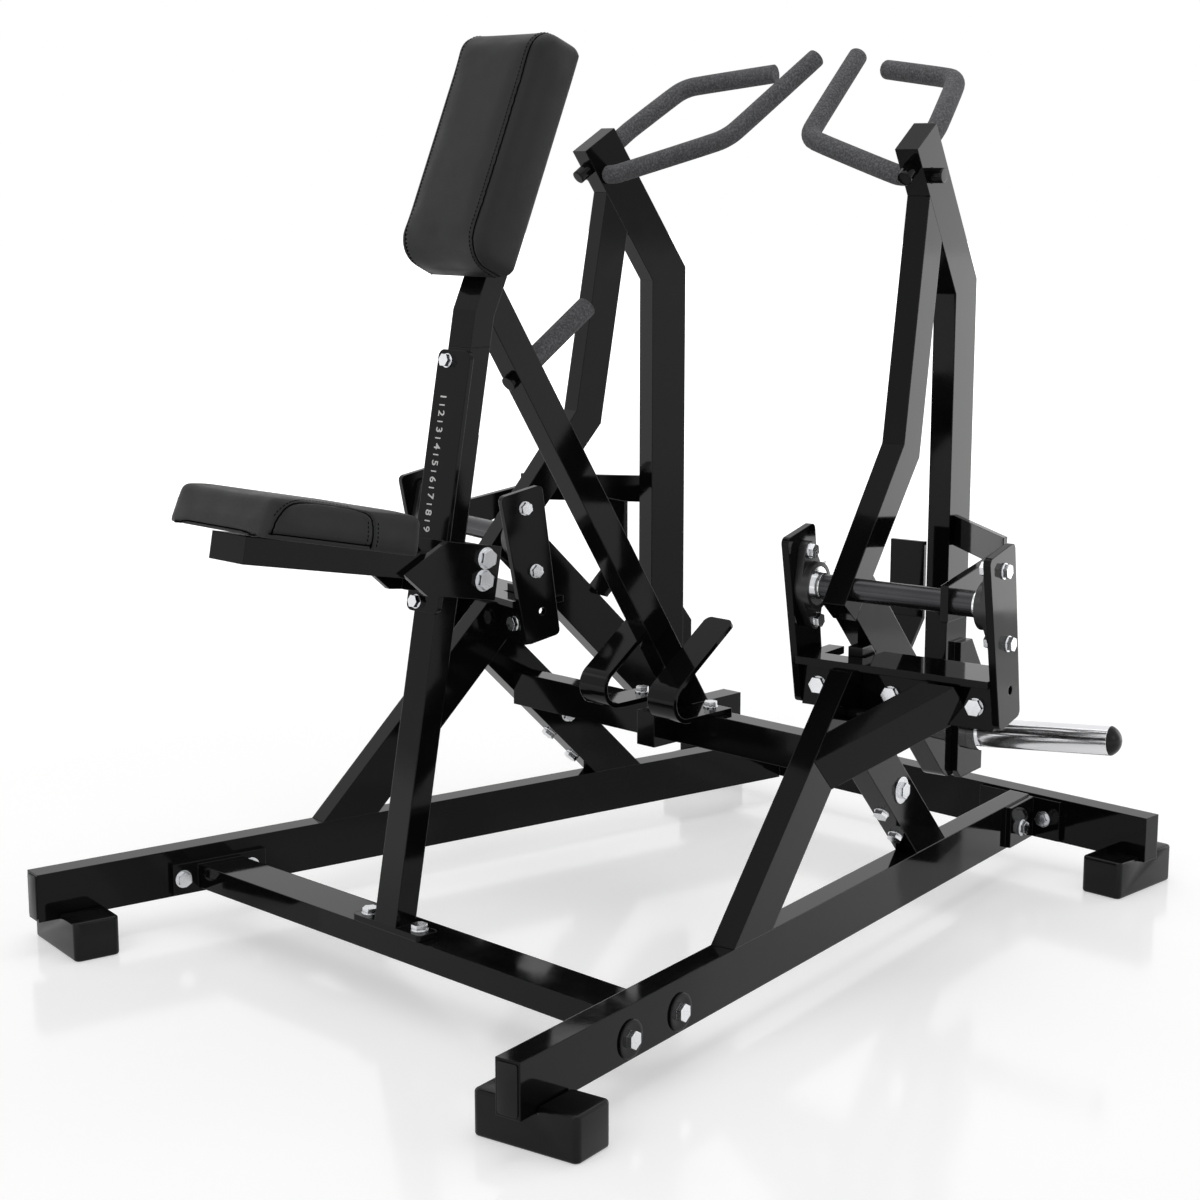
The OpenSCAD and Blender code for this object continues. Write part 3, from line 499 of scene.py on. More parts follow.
def smooth(piece: Piece, degrees: float = 40.0) -> None:
    """Shades faces smooth across edges below an angle."""
    take(piece)
    bpy.ops.object.shade_smooth_by_angle(angle=math.radians(degrees))


def apply_modifier(piece: Piece, kind: str, **settings: object) -> None:
    """Adds a modifier and applies it.

    Args:
        piece: The piece.
        kind: The modifier's type.
        settings: Its settings.
    """
    modifier = piece.modifiers.new(kind.title(), kind)
    for key, value in settings.items():
        setattr(modifier, key, value)
    take(piece)
    bpy.ops.object.modifier_apply(modifier=modifier.name)


def subdivide(piece: Piece) -> None:
    """Applies one level of Subdivision Surface."""
    apply_modifier(piece, "SUBSURF", levels=1, render_levels=1)


def copy_piece(piece: Piece, matrix: Matrix) -> Piece:
    """Copies a piece with its own mesh.

    Args:
        piece: The piece.
        matrix: Moves the copy's mesh.

    Returns:
        The copy.
    """
    twin = piece.copy()
    twin.data = piece.data.copy()
    bpy.context.scene.collection.objects.link(twin)
    twin.data.transform(matrix)
    if matrix.determinant() < 0:
        twin.data.flip_normals()
    return twin


def rounded_copy(node: str, width: float, merge: float, sharp: float = 60.0) -> Piece:
    """Copies a CAD node, off its body, joins its flat faces and rounds its sharp edges.

    Args:
        node: The CAD node.
        width: Width of the rounding.
        merge: Points nearer than this become one.
        sharp: The angle in degrees from which an edge is sharp.

    Returns:
        The copy.
    """
    piece = copy_piece(frame["nodes"][node], Matrix.Identity(4))
    piece.parent = None
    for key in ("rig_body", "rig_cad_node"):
        if key in piece:
            del piece[key]
    with editing(piece, EDGES_ONLY):
        bpy.ops.mesh.select_all(action="SELECT")
        bpy.ops.mesh.remove_doubles(threshold=merge)
        bpy.ops.mesh.normals_make_consistent(inside=False)
    with editing(piece, EDGES_ONLY):
        bpy.ops.mesh.select_all(action="SELECT")
        bpy.ops.mesh.dissolve_limited(angle_limit=math.radians(1))
        bpy.ops.mesh.select_all(action="DESELECT")
        bpy.ops.mesh.edges_select_sharp(sharpness=math.radians(sharp))
        bpy.ops.mesh.bevel(offset=width, segments=3, clamp_overlap=True)
    return piece


def join(pieces: Sequence[Piece]) -> Piece:
    """Joins pieces into one.

    Args:
        pieces: Two pieces or more.

    Returns:
        The joined piece.
    """
    take(*pieces)
    bpy.ops.object.join()
    return bpy.context.object


def thin_tube(points: Sequence[Vector], radius: float) -> Piece:
    """Draws a thin line through points.

    Args:
        points: The line's points.
        radius: The line's radius.

    Returns:
        The line as a mesh.
    """
    curve = bpy.data.curves.new("line", "CURVE")
    curve.dimensions = "3D"
    curve.bevel_depth = radius
    curve.bevel_resolution = 1
    curve.use_fill_caps = True
    spline = curve.splines.new("POLY")
    spline.points.add(len(points) - 1)
    for slot, point in zip(spline.points, points):
        slot.co = (*point, 1.0)
    piece = bpy.data.objects.new("line", curve)
    bpy.context.scene.collection.objects.link(piece)
    take(piece)
    bpy.ops.object.convert(target="MESH")
    return bpy.context.object


def finish_piece(piece: Piece, name: str, slot: str, body: str,
                 replaces: Iterable[str] = ()) -> Piece:
    """Names and dresses a piece, and rides it on its body.

    Args:
        piece: The piece, in place.
        name: Its name.
        slot: Its finish.
        body: The body that it moves with.
        replaces: The CAD nodes that it stands for.

    Returns:
        The same piece.
    """
    rename(piece, name)
    PAINT.dress(piece, slot)
    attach(piece, body)
    if replaces:
        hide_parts(*replaces)
    LOG.info("piece %s on %s, %d faces", name, body, len(piece.data.polygons))
    return piece


# ---- Places ----


@dataclass(frozen=True)
class SideFrame:
    """The turned frame of one rail, read from its lever's hinge."""

    side: Side
    hinge_v: float = 910 * MM
    hinge_z: float = 613 * MM

    def fit(self, piece: Piece, name: str, slot: str, body: str) -> None:
        """Puts a small part in this frame and finishes it.

        Args:
            piece: The part, laid out in the rail's frame.
            name: Its name without the side.
            slot: Its finish.
            body: The body that it moves with.
        """
        piece.data.transform(self.matrix)
        if self.side is Side.LEFT:
            piece.data.flip_normals()
        smooth(piece)
        finish_piece(piece, f"{self.side.word}_{name}", slot, body)

    @property
    def matrix(self) -> Matrix:
        """From (outward, rearward, up) to the row frame.

        Returns:
            The matrix, mirrored on the left.
        """
        hinge = next(j for j in frame["joints"] if j["name"] == "right_lever_hinge")
        out = Vector(hinge["axis"]).normalized()
        up = Vector((0.0, 0.0, 1.0))
        back = up.cross(out)
        turned = Matrix((out, back, up)).transposed().to_4x4()
        turned.translation = (Vector(hinge["pos_m"]) - back * self.hinge_v
                              - up * self.hinge_z)
        if self.side is Side.LEFT:
            return Matrix.Diagonal((-1.0, 1.0, 1.0, 1.0)) @ turned
        return turned


def straighten(low: Vector, high: Vector, c: float, s: float) -> Pair:
    """Finds the two sides of a rectangle that leans in its box.

    Args:
        low: The box's low corner.
        high: The box's high corner.
        c: Cosine of the lean.
        s: Sine of the lean.

    Returns:
        The side nearer to level and the side nearer to upright.
    """
    dy, dz = high.y - low.y, high.z - low.z
    share = c * c - s * s
    return (dy * c - dz * s) / share, (dz * c - dy * s) / share


class Size(NamedTuple):
    """A pad's width, length and thickness."""

    x: float
    y: float
    z: float


@dataclass(frozen=True)
class Slab:
    """A tilted slab's own frame and size, solved from its box and its tilt.

    grow lengthens its start, its end, its base and its top, widen adds to its width, and tip
    turns it about pivot, which is a share of its length.
    """

    node: str
    tilt: float
    upright: bool
    end_radius: float = 0.0
    grow: tuple[float, float, float, float] = (0.0, 0.0, 0.0, 0.0)
    widen: float = 0.0
    tip: float = 0.0
    pivot: float = 1.0

    def solve(self) -> tuple[Matrix, Size]:
        """Solves the slab.

        Returns:
            The matrix from the slab's own frame to the row frame, and its width, length and
            thickness.
        """
        low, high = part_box(self.node)
        c, s = math.cos(self.tilt), math.sin(self.tilt)
        cut = Vector((0.0, 1.0, 1.0)) * (self.end_radius * (c + s - 1.0))
        low, high = low - cut, high + cut
        flat, tall = straighten(low, high, c, s)
        width = high.x - low.x
        if self.upright:
            along, out = Vector((0, s, c)), Vector((0, -c, s))
            origin = Vector(((low.x + high.x) / 2, low.y, low.z + flat * s)) - out * flat
            length, thick = tall, flat
        else:
            along, out = Vector((0, c, -s)), Vector((0, s, c))
            origin = Vector(((low.x + high.x) / 2, low.y, low.z + flat * s))
            length, thick = flat, tall
        matrix = Matrix((X_AXIS, along, out)).transposed().to_4x4()
        start, end, base, top = self.grow
        matrix.translation = origin - along * start - out * base
        length += start + end
        heel = Matrix.Translation((0.0, length * self.pivot, 0.0))
        matrix = matrix @ heel @ Matrix.Rotation(-self.tip, 4, "X") @ heel.inverted()
        return matrix, Size(width + self.widen, length, thick + base + top)


def smooth_path(knots: Sequence[Vector]) -> list[Vector]:
    """Runs a soft curve through knots.

    Args:
        knots: The points that it passes.

    Returns:
        The curve's points.
    """
    ends = [knots[0] * 2 - knots[1], *knots, knots[-1] * 2 - knots[-2]]
    points: list[Vector] = []
    for i in range(1, len(ends) - 2):
        a, b, c, d = ends[i - 1:i + 3]
        count = max(1, round((c - b).length / PATH_STEP))
        for k in range(count):
            t = k / count
            points.append(0.5 * (2 * b + (c - a) * t + (2 * a - 5 * b + 4 * c - d) * t * t
                                 + (3 * b - a - 3 * c + d) * t ** 3))
    return [*points, knots[-1].copy()]


# ---- Upholstery ----


@dataclass
class Pad:
    """A foam pad under stretched upholstery, made by a pressure simulation."""

    slab: Slab
    body: str
    stands_for: tuple[str, ...]
    shrink: float = 4 * MM
    voxel: float = 4 * MM
    cap: float = 3.5 * MM
    flat_back: float = 8 * MM
    pressure: float = 4.0
    frames: int = 20
    groove: float = 2.2 * MM
    groove_width: float = 4.5 * MM
    # Radius of the near-black line that paints shade along each seam groove
    cord: float = 1.05 * MM
    pitch: float = 5.5 * MM
    stitch_size: tuple[float, float, float] = (3.6 * MM, 1.5 * MM, 1.2 * MM)
    stitch_edge: float = 0.45 * MM
    lines: list[Piece] = field(default_factory=list)

    def solid(self, size: Size) -> Piece:
        """Models the pad's plain form in its own frame."""
        raise NotImplementedError

    def seams(self, pad: Piece, size: Size) -> None:
        """Sews the pad."""
        raise NotImplementedError

    def swell(self, pad: Piece) -> None:
        """Lets pressure crown the pad, with its back held flat.

        Args:
            pad: The pad's mesh, in its own frame.
        """
        apply_modifier(pad, "REMESH", mode="VOXEL", voxel_size=self.voxel)
        held = pad.vertex_groups.new(name="held")
        held.add([v.index for v in pad.data.vertices if v.co.z < self.flat_back], 1.0, "ADD")
        before = [v.co.copy() for v in pad.data.vertices]
        cloth = pad.modifiers.new("Cloth", "CLOTH")
        cloth.settings.use_pressure = True
        cloth.settings.uniform_pressure_force = self.pressure
        cloth.settings.effector_weights.gravity = 0.0
        cloth.settings.vertex_group_mass = "held"
        cloth.point_cache.frame_start = 1
        cloth.point_cache.frame_end = self.frames
        for number in range(1, self.frames + 1):
            bpy.context.scene.frame_set(number)
        take(pad)
        bpy.ops.object.modifier_apply(modifier=cloth.name)
        moves = []
        for vertex, start in zip(pad.data.vertices, before):
            move = vertex.co - start
            moves.append(move * min(1.0, self.cap / max(move.length, MM / 100)))
        for vertex, start, move in zip(pad.data.vertices, before, self.even(pad, moves)):
            vertex.co = start + move
        bpy.context.scene.frame_set(1)
        pad.vertex_groups.clear()
        apply_modifier(pad, "SMOOTH", factor=0.5, iterations=3)
        subdivide(pad)

    def even(self, pad: Piece, moves: list[Vector], rounds: int = 14) -> list[Vector]:
        """Evens out how far neighbouring points moved, as a stretched cover does.

        Args:
            pad: The pad.
            moves: How far each point moved.
            rounds: Times that each point takes the mean of its neighbours.

        Returns:
            The evened moves.
        """
        near: list[list[int]] = [[i] for i in range(len(moves))]
        for edge in pad.data.edges:
            a, b = edge.vertices
            near[a].append(b)
            near[b].append(a)
        for _ in range(rounds):
            moves = [sum((moves[k] for k in group), Vector()) / len(group) for group in near]
        return moves

    def stretch(self, pad: Piece, size: Size) -> None:
        """Fits the swollen pad to its full size.

        Args:
            pad: The pad, in its own frame.
            size: Its full width, length and thickness.
        """
        for axis, start in enumerate((-size.x / 2, 0.0, 0.0)):
            low = min(v.co[axis] for v in pad.data.vertices)
            high = max(v.co[axis] for v in pad.data.vertices)
            for vertex in pad.data.vertices:
                vertex.co[axis] = start + (vertex.co[axis] - low) / (high - low) * size[axis]
        pad.data.update()

    def press(self, pad: Piece, path: Sequence[Vector]) -> None:
        """Sinks a groove into the pad.

        Args:
            pad: The pad.
            path: Points along the groove.
        """
        tree = KDTree(len(path))
        for i, point in enumerate(path):
            tree.insert(point, i)
        tree.balance()
        for vertex in pad.data.vertices:
            _, _, away = tree.find(vertex.co)
            if away < self.groove_width:
                share = 0.5 + 0.5 * math.cos(math.pi * away / self.groove_width)
                vertex.co -= vertex.normal * self.groove * share
        pad.data.update()

    def on_skin(self, pad: Piece, path: Iterable[Vector],
                sink: float = 0.0) -> list[Vector]:
        """Moves each point of a path onto the pad's skin.

        Args:
            pad: The pad.
            path: Points near the skin.
            sink: Depth under the skin.

        Returns:
            The points on the skin.
        """
        found = []
        for point in path:
            _, place, normal, _ = pad.closest_point_on_mesh(point)
            found.append(place - normal * sink)
        return found

    def stitch(self, path: Sequence[Vector]) -> None:
        """Lays a row of stitches along a path.

        Args:
            path: Points on the skin.
        """
        first = block(self.stitch_size, (0.0, 0.0, 0.0))
        bevel(first, lambda a, b: True, self.stitch_edge, 2)
        gone = 0.0
        for a, b in zip(path, path[1:]):
            gone += (b - a).length
            if gone >= self.pitch:
                gone = 0.0
                turn = (b - a).to_track_quat("X", "Z").to_matrix().to_4x4()
                turn.translation = b
                self.lines.append(copy_piece(first, turn))
        bpy.data.objects.remove(first)

    def sew(self, pad: Piece, path: Sequence[Vector]) -> None:
        """Presses a seam in and lays a near-black line along its groove, as painted shade.

        Args:
            pad: The pad.
            path: Points near the skin.
        """
        skin = self.on_skin(pad, path)
        self.press(pad, skin)
        # The line in the groove is painted shade, not thread
        self.lines.append(thin_tube(self.on_skin(pad, skin, HAIR), self.cord))

    def build(self) -> Piece:
        """Builds, sews, places and dresses the pad.

        Returns:
            The finished pad.
        """
        matrix, size = self.slab.solve()
        pad = self.solid(size)
        self.swell(pad)
        self.stretch(pad, size)
        self.seams(pad, size)
        smooth(pad, 60.0)
        pad.data.transform(matrix)
        finish_piece(pad, self.slab.node + "_cover", "upholstery", self.body,
                               self.stands_for)
        # The stitches keep their own dark thread colour; the seam lines are painted shade along
        # each groove.
        lines = join(self.lines)
        smooth(lines)
        lines.data.transform(matrix)
        finish_piece(lines, self.slab.node + "_stitching", "thread", self.body)
        return pad


@dataclass
class ChestPad(Pad):
    """The chest pad: a front panel that wraps the ends, between two side gussets."""

    foot_radius: float = 44 * MM
    head_radius: float = 36 * MM
    gusset_edge: float = 22 * MM
    seam_out: float = 2 * MM
    seam_end: float = 4 * MM
    row_inset: float = 6.5 * MM
    back_radius: float = 24 * MM

    def solid(self, size: Size) -> Piece:
        """Models the pad with round front ends and broad, soft side edges.

        Args:
            size: The pad's width, length and thickness.

        Returns:
            The form, in the pad's own frame.
        """
        (width, length, thick), s = size, self.shrink
        pad = block((width - 2 * s, length - 2 * s, thick - s),
                    (0.0, length / 2, (thick - s) / 2))
        front, flank = thick - s, width / 2 - s
        for low_end, radius in ((True, self.foot_radius), (False, self.head_radius)):
            bevel(pad, lambda a, b: abs(a.x - b.x) > width / 2 and min(a.z, b.z) > front - MM
                  and (a.y < length / 2) == low_end, radius, 8)
        bevel(pad, lambda a, b: min(abs(a.x), abs(b.x)) > flank - HAIR
              and abs(a.x - b.x) < HAIR and max(a.z, b.z) > MM, self.gusset_edge, 6)
        return pad

    def stretch(self, pad: Piece, size: Size) -> None:
        """Fits the pad to its full size and rounds the back of both ends.

        Args:
            pad: The pad, in its own frame.
            size: Its full width, length and thickness.
        """
        super().stretch(pad, size)
        length, r = size.y, self.back_radius
        for vertex in pad.data.vertices:
            y, z = vertex.co.y, vertex.co.z
            middle = r if y < length / 2 else length - r
            over = (y - middle) * (1 if y > length / 2 else -1)
            reach = math.hypot(over, z - r)
            if over > 0 and z < r < reach:
                vertex.co.y = middle + (y - middle) * r / reach
                vertex.co.z = r + (z - r) * r / reach
        pad.data.update()

    def outline(self, x: float, size: Size) -> list[Vector]:
        """The gusset's outline from the back round the front.

        Args:
            x: Where the outline stands across the pad.
            size: The pad's width, length and thickness.

        Returns:
            The outline's points.
        """
        _, length, thick = size
        foot, head = self.foot_radius, self.head_radius
        knots = [Vector((x, 0.0, self.seam_end)), Vector((x, 0.0, thick - foot))]
        knots += [Vector((x, foot - foot * math.cos(a), thick - foot + foot * math.sin(a)))
                  for a in (math.radians(d) for d in (22.5, 45, 67.5, 90))]
        knots += [Vector((x, length * k / 8, thick)) for k in range(2, 7)]
        knots += [Vector((x, length - head + head * math.sin(a), thick - head + head * math.cos(a)))
                  for a in (math.radians(d) for d in (0, 22.5, 45, 67.5, 90))]
        knots.append(Vector((x, length, self.seam_end)))
        return smooth_path(knots)

    def seams(self, pad: Piece, size: Size) -> None:
        """Sews both gussets, with a row of stitches on the front panel.

        Args:
            pad: The pad.
            size: The pad's width, length and thickness.
        """
        seam = size.x / 2 - self.gusset_edge + self.seam_out
        for side in (1, -1):
            self.sew(pad, self.outline(side * seam, size))
        for side in (1, -1):
            row = self.outline(side * (seam - self.row_inset), size)
            self.stitch(self.on_skin(pad, row))


@dataclass
class SeatPad(Pad):
    """The seat pad: a slanted nose, a sewn side patch and a wrapped rear."""

    nose_slant: float = 9 * MM
    nose_corner: float = 20 * MM
    rear_corner: float = 9 * MM
    top_edge: float = 11 * MM
    hem: float = 7.5 * MM
    patch: tuple[Pair, ...] = (
        (11, 8), (13, 17), (16, 26), (20, 34), (25, 41), (32, 47.5), (42, 52), (54, 55),
        (70, 56.5), (97, 57), (127, 56.8), (154, 56), (172, 53.5), (180.5, 49), (185, 42),
        (186.5, 31), (186.5, 16), (186.5, 3))
    hem_along: tuple[float, ...] = (8, 24, 60, 100, 140)
    rows: Pair = (176.5, 195.0)
    row_up: tuple[float, ...] = (3, 15, 30, 44)
    arc_away: Pair = (-5.0, 2.0)

    def solid(self, size: Size) -> Piece:
        """Models the pad with its nose slanted back toward the top.

        Args:
            size: The pad's width, length and thickness.

        Returns:
            The form, in the pad's own frame.
        """
        (width, length, thick), s = size, self.shrink
        pad = block((width - 2 * s, length - 2 * s, thick - s),
                    (0.0, length / 2, (thick - s) / 2))
        for vertex in pad.data.vertices:
            if vertex.co.y < length / 2 and vertex.co.z > thick / 2:
                vertex.co.y += self.nose_slant
        bevel(pad, lambda a, b: abs(a.z - b.z) > thick / 2 and a.y < length / 2,
              self.nose_corner, 6)
        bevel(pad, lambda a, b: abs(a.z - b.z) > thick / 2 and a.y > length * 0.9,
              self.rear_corner, 4)
        top = thick - s
        bevel(pad, lambda a, b: min(a.z, b.z) > top - HAIR, self.top_edge, 4)
        return pad

    def on_side(self, pad: Piece, side: int, points: Iterable[Pair],
                width: float) -> list[Vector]:
        """Casts points of the side view onto the pad's flank.

        Args:
            pad: The pad.
            side: 1 for the right flank, -1 for the left.
            points: Places along the pad and above its base, in millimetres.
            width: The pad's width.

        Returns:
            The points on the skin.
        """
        knots = [Vector((side * width, y * MM, z * MM)) for y, z in points]
        found = []
        for point in smooth_path(knots):
            hit, place, _, _ = pad.ray_cast(point, Vector((-side, 0.0, 0.0)))
            if hit:
                found.append(place)
        return found

    def seams(self, pad: Piece, size: Size) -> None:
        """Sews the hem, the side patches and their rows of stitches.

        Args:
            pad: The pad.
            size: The pad's width, length and thickness.
        """
        low = self.hem / MM
        for side in (1, -1):
            self.sew(pad, self.on_side(pad, side, self.patch, size.x))
            hem = [(y, low) for y in (*self.hem_along, self.patch[-1][0])]
            self.sew(pad, self.on_side(pad, side, hem, size.x))
        nose = [Vector((x * size.x, -size.y / 4, self.hem)) for x in (-0.4, -0.2, 0.0, 0.2, 0.4)]
        self.sew(pad, smooth_path(nose))
        for side in (1, -1):
            for y in self.rows:
                row = [(y, z) for z in self.row_up]
                self.stitch(self.on_side(pad, side, row, size.x))
            arc = [(y + self.arc_away[0], z + self.arc_away[1]) for y, z in self.patch[2:12]]
            self.stitch(self.on_side(pad, side, arc, size.x))


# ---- Small parts ----


@dataclass
class RoundBars:
    """The bent bars and grips of one lever, with their swept skins made fully round."""

    side: Side
    merge: float = 0.05 * MM
    bar_rim: float = 1.2 * MM
    grip_rim: float = 3.2 * MM

    def build(self) -> None:
        """Makes the lever's bars and grips round."""
        for part, slot, rim in (("_handle_bars", "black_paint", self.bar_rim),
                                ("_grips", "foam_grip", self.grip_rim)):
            node = self.side.word + part
            piece = rounded_copy(node, rim, self.merge)
            subdivide(piece)
            smooth(piece, 60.0)
            finish_piece(piece, node + "_round", slot, self.side.word + "_lever", [node])


@dataclass
class RubberFeet:
    """The four moulded feet, with the soft edges that their mould gives."""

    edge: float = 7 * MM
    merge: float = 0.02 * MM
    sharp: float = 50.0

    def build(self) -> None:
        """Rounds the feet's edges."""
        feet = rounded_copy("rubber_feet", self.edge, self.merge, self.sharp)
        smooth(feet, self.sharp)
        finish_piece(feet, "rubber_feet_moulded", "rubber", "frame", ["rubber_feet"])


@dataclass
class HeightScale:
    """The numbers and dashes that show the seat's height on the guide plate."""

    top_z: float = 921 * MM
    across: float = -13 * MM
    step: float = 25.4 * MM
    count: int = 9
    size: float = 19 * MM
    bold: float = 0.28 * MM
    dash: Pair = (2.0 * MM, 12 * MM)
    proud: float = 0.25 * MM

    def build(self) -> None:
        """Writes the scale down the plate's front."""
        slide = next(j for j in frame["joints"] if j["name"] == "seat_slide")
        up = Vector(slide["axis"]).normalized()
        out = Vector((0.0, -up.z, up.y))
        low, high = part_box("guide_plate")
        thick, _ = straighten(low, high, up.z, up.y)
        foot = Vector((self.across, low.y, low.z + thick * up.y))
        start = foot + up * ((self.top_z - foot.z) / up.z)
        turn = Matrix((-up, X_AXIS, out)).transposed().to_4x4()
        marks = []
        for number in range(1, self.count + 1):
            take()
            bpy.ops.object.text_add()
            text = bpy.context.object
            text.data.body = str(number)
            text.data.size = self.size
            text.data.align_x = text.data.align_y = "CENTER"
            text.data.extrude = self.proud / 2
            text.data.offset = self.bold
            bpy.ops.object.convert(target="MESH")
            marks.append((bpy.context.object, number - 1.0))
            if number < self.count:
                bar = block((self.dash[0], self.dash[1], self.proud), (0.0, 0.0, 0.0))
                bevel(bar, lambda a, b: abs(a.z - b.z) > HAIR, 0.5 * MM, 2)
                marks.append((bar, number - 0.5))
        for mark, place in marks:
            spot = turn.copy()
            spot.translation = start - up * (self.step * place) + out * (self.proud / 2)
            mark.data.transform(spot)
        scale = join([mark for mark, _ in marks])
        finish_piece(scale, "height_scale", "white_mark", "frame")


@dataclass
class RailHardware:
    """The broad black washers and the end plugs of one rail."""

    side: Side
    along: tuple[float, ...] = (252.1 * MM, 378.1 * MM)
    radius: float = 28 * MM
    thick: float = 3.2 * MM
    rim: float = 1.0 * MM
    dish: Pair = (6.0 * MM, -0.5 * MM)
    rise: float = 88 * MM
    tube: Pair = (40 * MM, 80 * MM)
    tube_foot: float = 57 * MM
    plug_inset: float = 3.5 * MM
    plug_proud: float = 2.0 * MM
    plug_corner: float = 4.0 * MM
    plug_rim: float = 0.8 * MM

    def washer(self) -> Piece:
        """Turns one washer with a round rim and a shallow dish.

        Returns:
            The washer, standing on the origin.
        """
        washer = rod(self.radius, self.thick, 48)
        bevel(washer, lambda a, b: min(a.z, b.z) > self.thick / 2, self.rim, 3)
        inset_top(washer, self.dish)
        return washer

    def plug(self) -> Piece:
        """Moulds the plug in the rail's front end.

        Returns:
            The plug, facing forward from the origin's plane.
        """
        wide, tall = (size - 2 * self.plug_inset for size in self.tube)
        deep = self.plug_proud * 2
        plug = block((wide, deep, tall),
                     (-self.tube[0] / 2, 0.0, self.tube_foot + self.tube[1] / 2))
        bevel(plug, lambda a, b: abs(a.y - b.y) > deep / 2, self.plug_corner, 4)
        bevel(plug, lambda a, b: max(a.y, b.y) < -deep / 4, self.plug_rim, 2)
        return plug

    def build(self) -> None:
        """Puts the washers and the plug on the rail."""
        rail = SideFrame(self.side)
        washers = []
        for v in self.along:
            spot = Matrix.Translation((0.0, v, self.rise)) @ Matrix.Rotation(math.pi / 2, 4, "Y")
            washer = self.washer()
            washer.data.transform(spot)
            washers.append(washer)
        rail.fit(join(washers), "rail_washers", "black_paint", "frame")
        rail.fit(self.plug(), "rail_plug", "cap", "frame")


# Distance along the axle and from its middle, and turns in degrees from upright
Place = tuple[float, float, tuple[float, ...]]


@dataclass
class BearingHardware:
    """The grease nipples and set screws of one lever's two bearings.

    faces gives each bearing's place along the axle, and the way that it faces.
    """

    side: Side
    faces: tuple[Pair, ...] = ((-108 * MM, 1.0), (225 * MM, -1.0))
    nipple_place: Place = (16.8 * MM, 37.4 * MM, (-42.0,))
    screw_place: Place = (29.5 * MM, 21.1 * MM, (20.0, -100.0))
    screw: tuple[float, float, float] = (3.0 * MM, 1.6 * MM, 0.4 * MM)
    socket: tuple[Pair, Pair] = ((1.1 * MM, 0.0), (0.05 * MM, -1.0 * MM))
    nipple: Pair = (3.4 * MM, 9.0 * MM)

    def turned_nipple(self) -> Piece:
        """Turns a nipple with a hexagon foot, a neck and a round tip.

        Returns:
            The nipple, standing on the origin.
        """
        radius, tall = self.nipple
        foot = rod(radius, tall * 0.35, 6)
        neck = rod(radius * 0.55, tall, 20)
        bevel(neck, lambda a, b: min(a.z, b.z) > tall / 2, radius * 0.35, 3)
        return join([foot, neck])

    def turned_screw(self) -> Piece:
        """Turns a set screw with a hexagon socket.

        Returns:
            The screw, standing on the origin.
        """
        radius, tall, edge = self.screw
        screw = rod(radius, tall, 24)
        bevel(screw, lambda a, b: min(a.z, b.z) > tall / 2, edge, 2)
        inset_top(screw, *self.socket)
        return screw

    def ring(self, part: Piece, place: Place) -> Piece:
        """Sets copies of a part round both bearings.

        Args:
            part: The part, standing on the origin.
            place: Where the copies stand.

        Returns:
            The copies as one piece.
        """
        rail = SideFrame(self.side)
        out, foot, turns = place
        copies = []
        for u, way in self.faces:
            axle = Matrix.Translation((u + way * out, rail.hinge_v, rail.hinge_z))
            for degrees in turns:
                turn = Matrix.Rotation(math.radians(degrees), 4, "X")
                copies.append(copy_piece(part, axle @ turn
                                         @ Matrix.Translation((0.0, 0.0, foot))))
        bpy.data.objects.remove(part)
        return join(copies)

    def build(self) -> None:
        """Fits the small parts to both bearings."""
        rail = SideFrame(self.side)
        rail.fit(self.ring(self.turned_nipple(), self.nipple_place), "grease_nipples", "zinc",
                 "frame")
        rail.fit(self.ring(self.turned_screw(), self.screw_place), "set_screws", "shaft_steel",
                 self.side.word + "_lever")


# ---- Studio ----


@dataclass
class Softbox:
    """A rectangular studio lamp that faces the machine."""

    name: str
    place: tuple[float, float, float]
    size: Pair
    radiance: float
    target: tuple[float, float, float] = (0.0, 0.0, 0.7)

    def build(self) -> None:
        """Adds the lamp."""
        light = bpy.data.lights.new(self.name, "AREA")
        light.shape = "RECTANGLE"
        light.size, light.size_y = self.size
        light.energy = self.radiance * math.pi * self.size[0] * self.size[1]
        lamp = bpy.data.objects.new(self.name, light)
        lamp.location = self.place
        away = Vector(self.place) - Vector(self.target)
        lamp.rotation_euler = away.to_track_quat("Z", "Y").to_euler()
        bpy.context.scene.collection.objects.link(lamp)


def plainly_seen(tree: bpy.types.NodeTree) -> Socket:
    """Adds what tells the rays that see the plain backdrop from those that light the row.

    Args:
        tree: The node tree of the floor or the world.

    Returns:
        1 for camera, glossy and transmission rays, and 0 for the others.
    """
    path = tree.nodes.new("ShaderNodeLightPath")
    seen: Socket = path.outputs["Is Camera Ray"]
    for ray in ("Is Glossy Ray", "Is Transmission Ray"):
        either = tree.nodes.new("ShaderNodeMath")
        either.operation = "MAXIMUM"
        tree.links.new(seen, either.inputs[0])
        tree.links.new(path.outputs[ray], either.inputs[1])
        seen = either.outputs[0]
    return seen


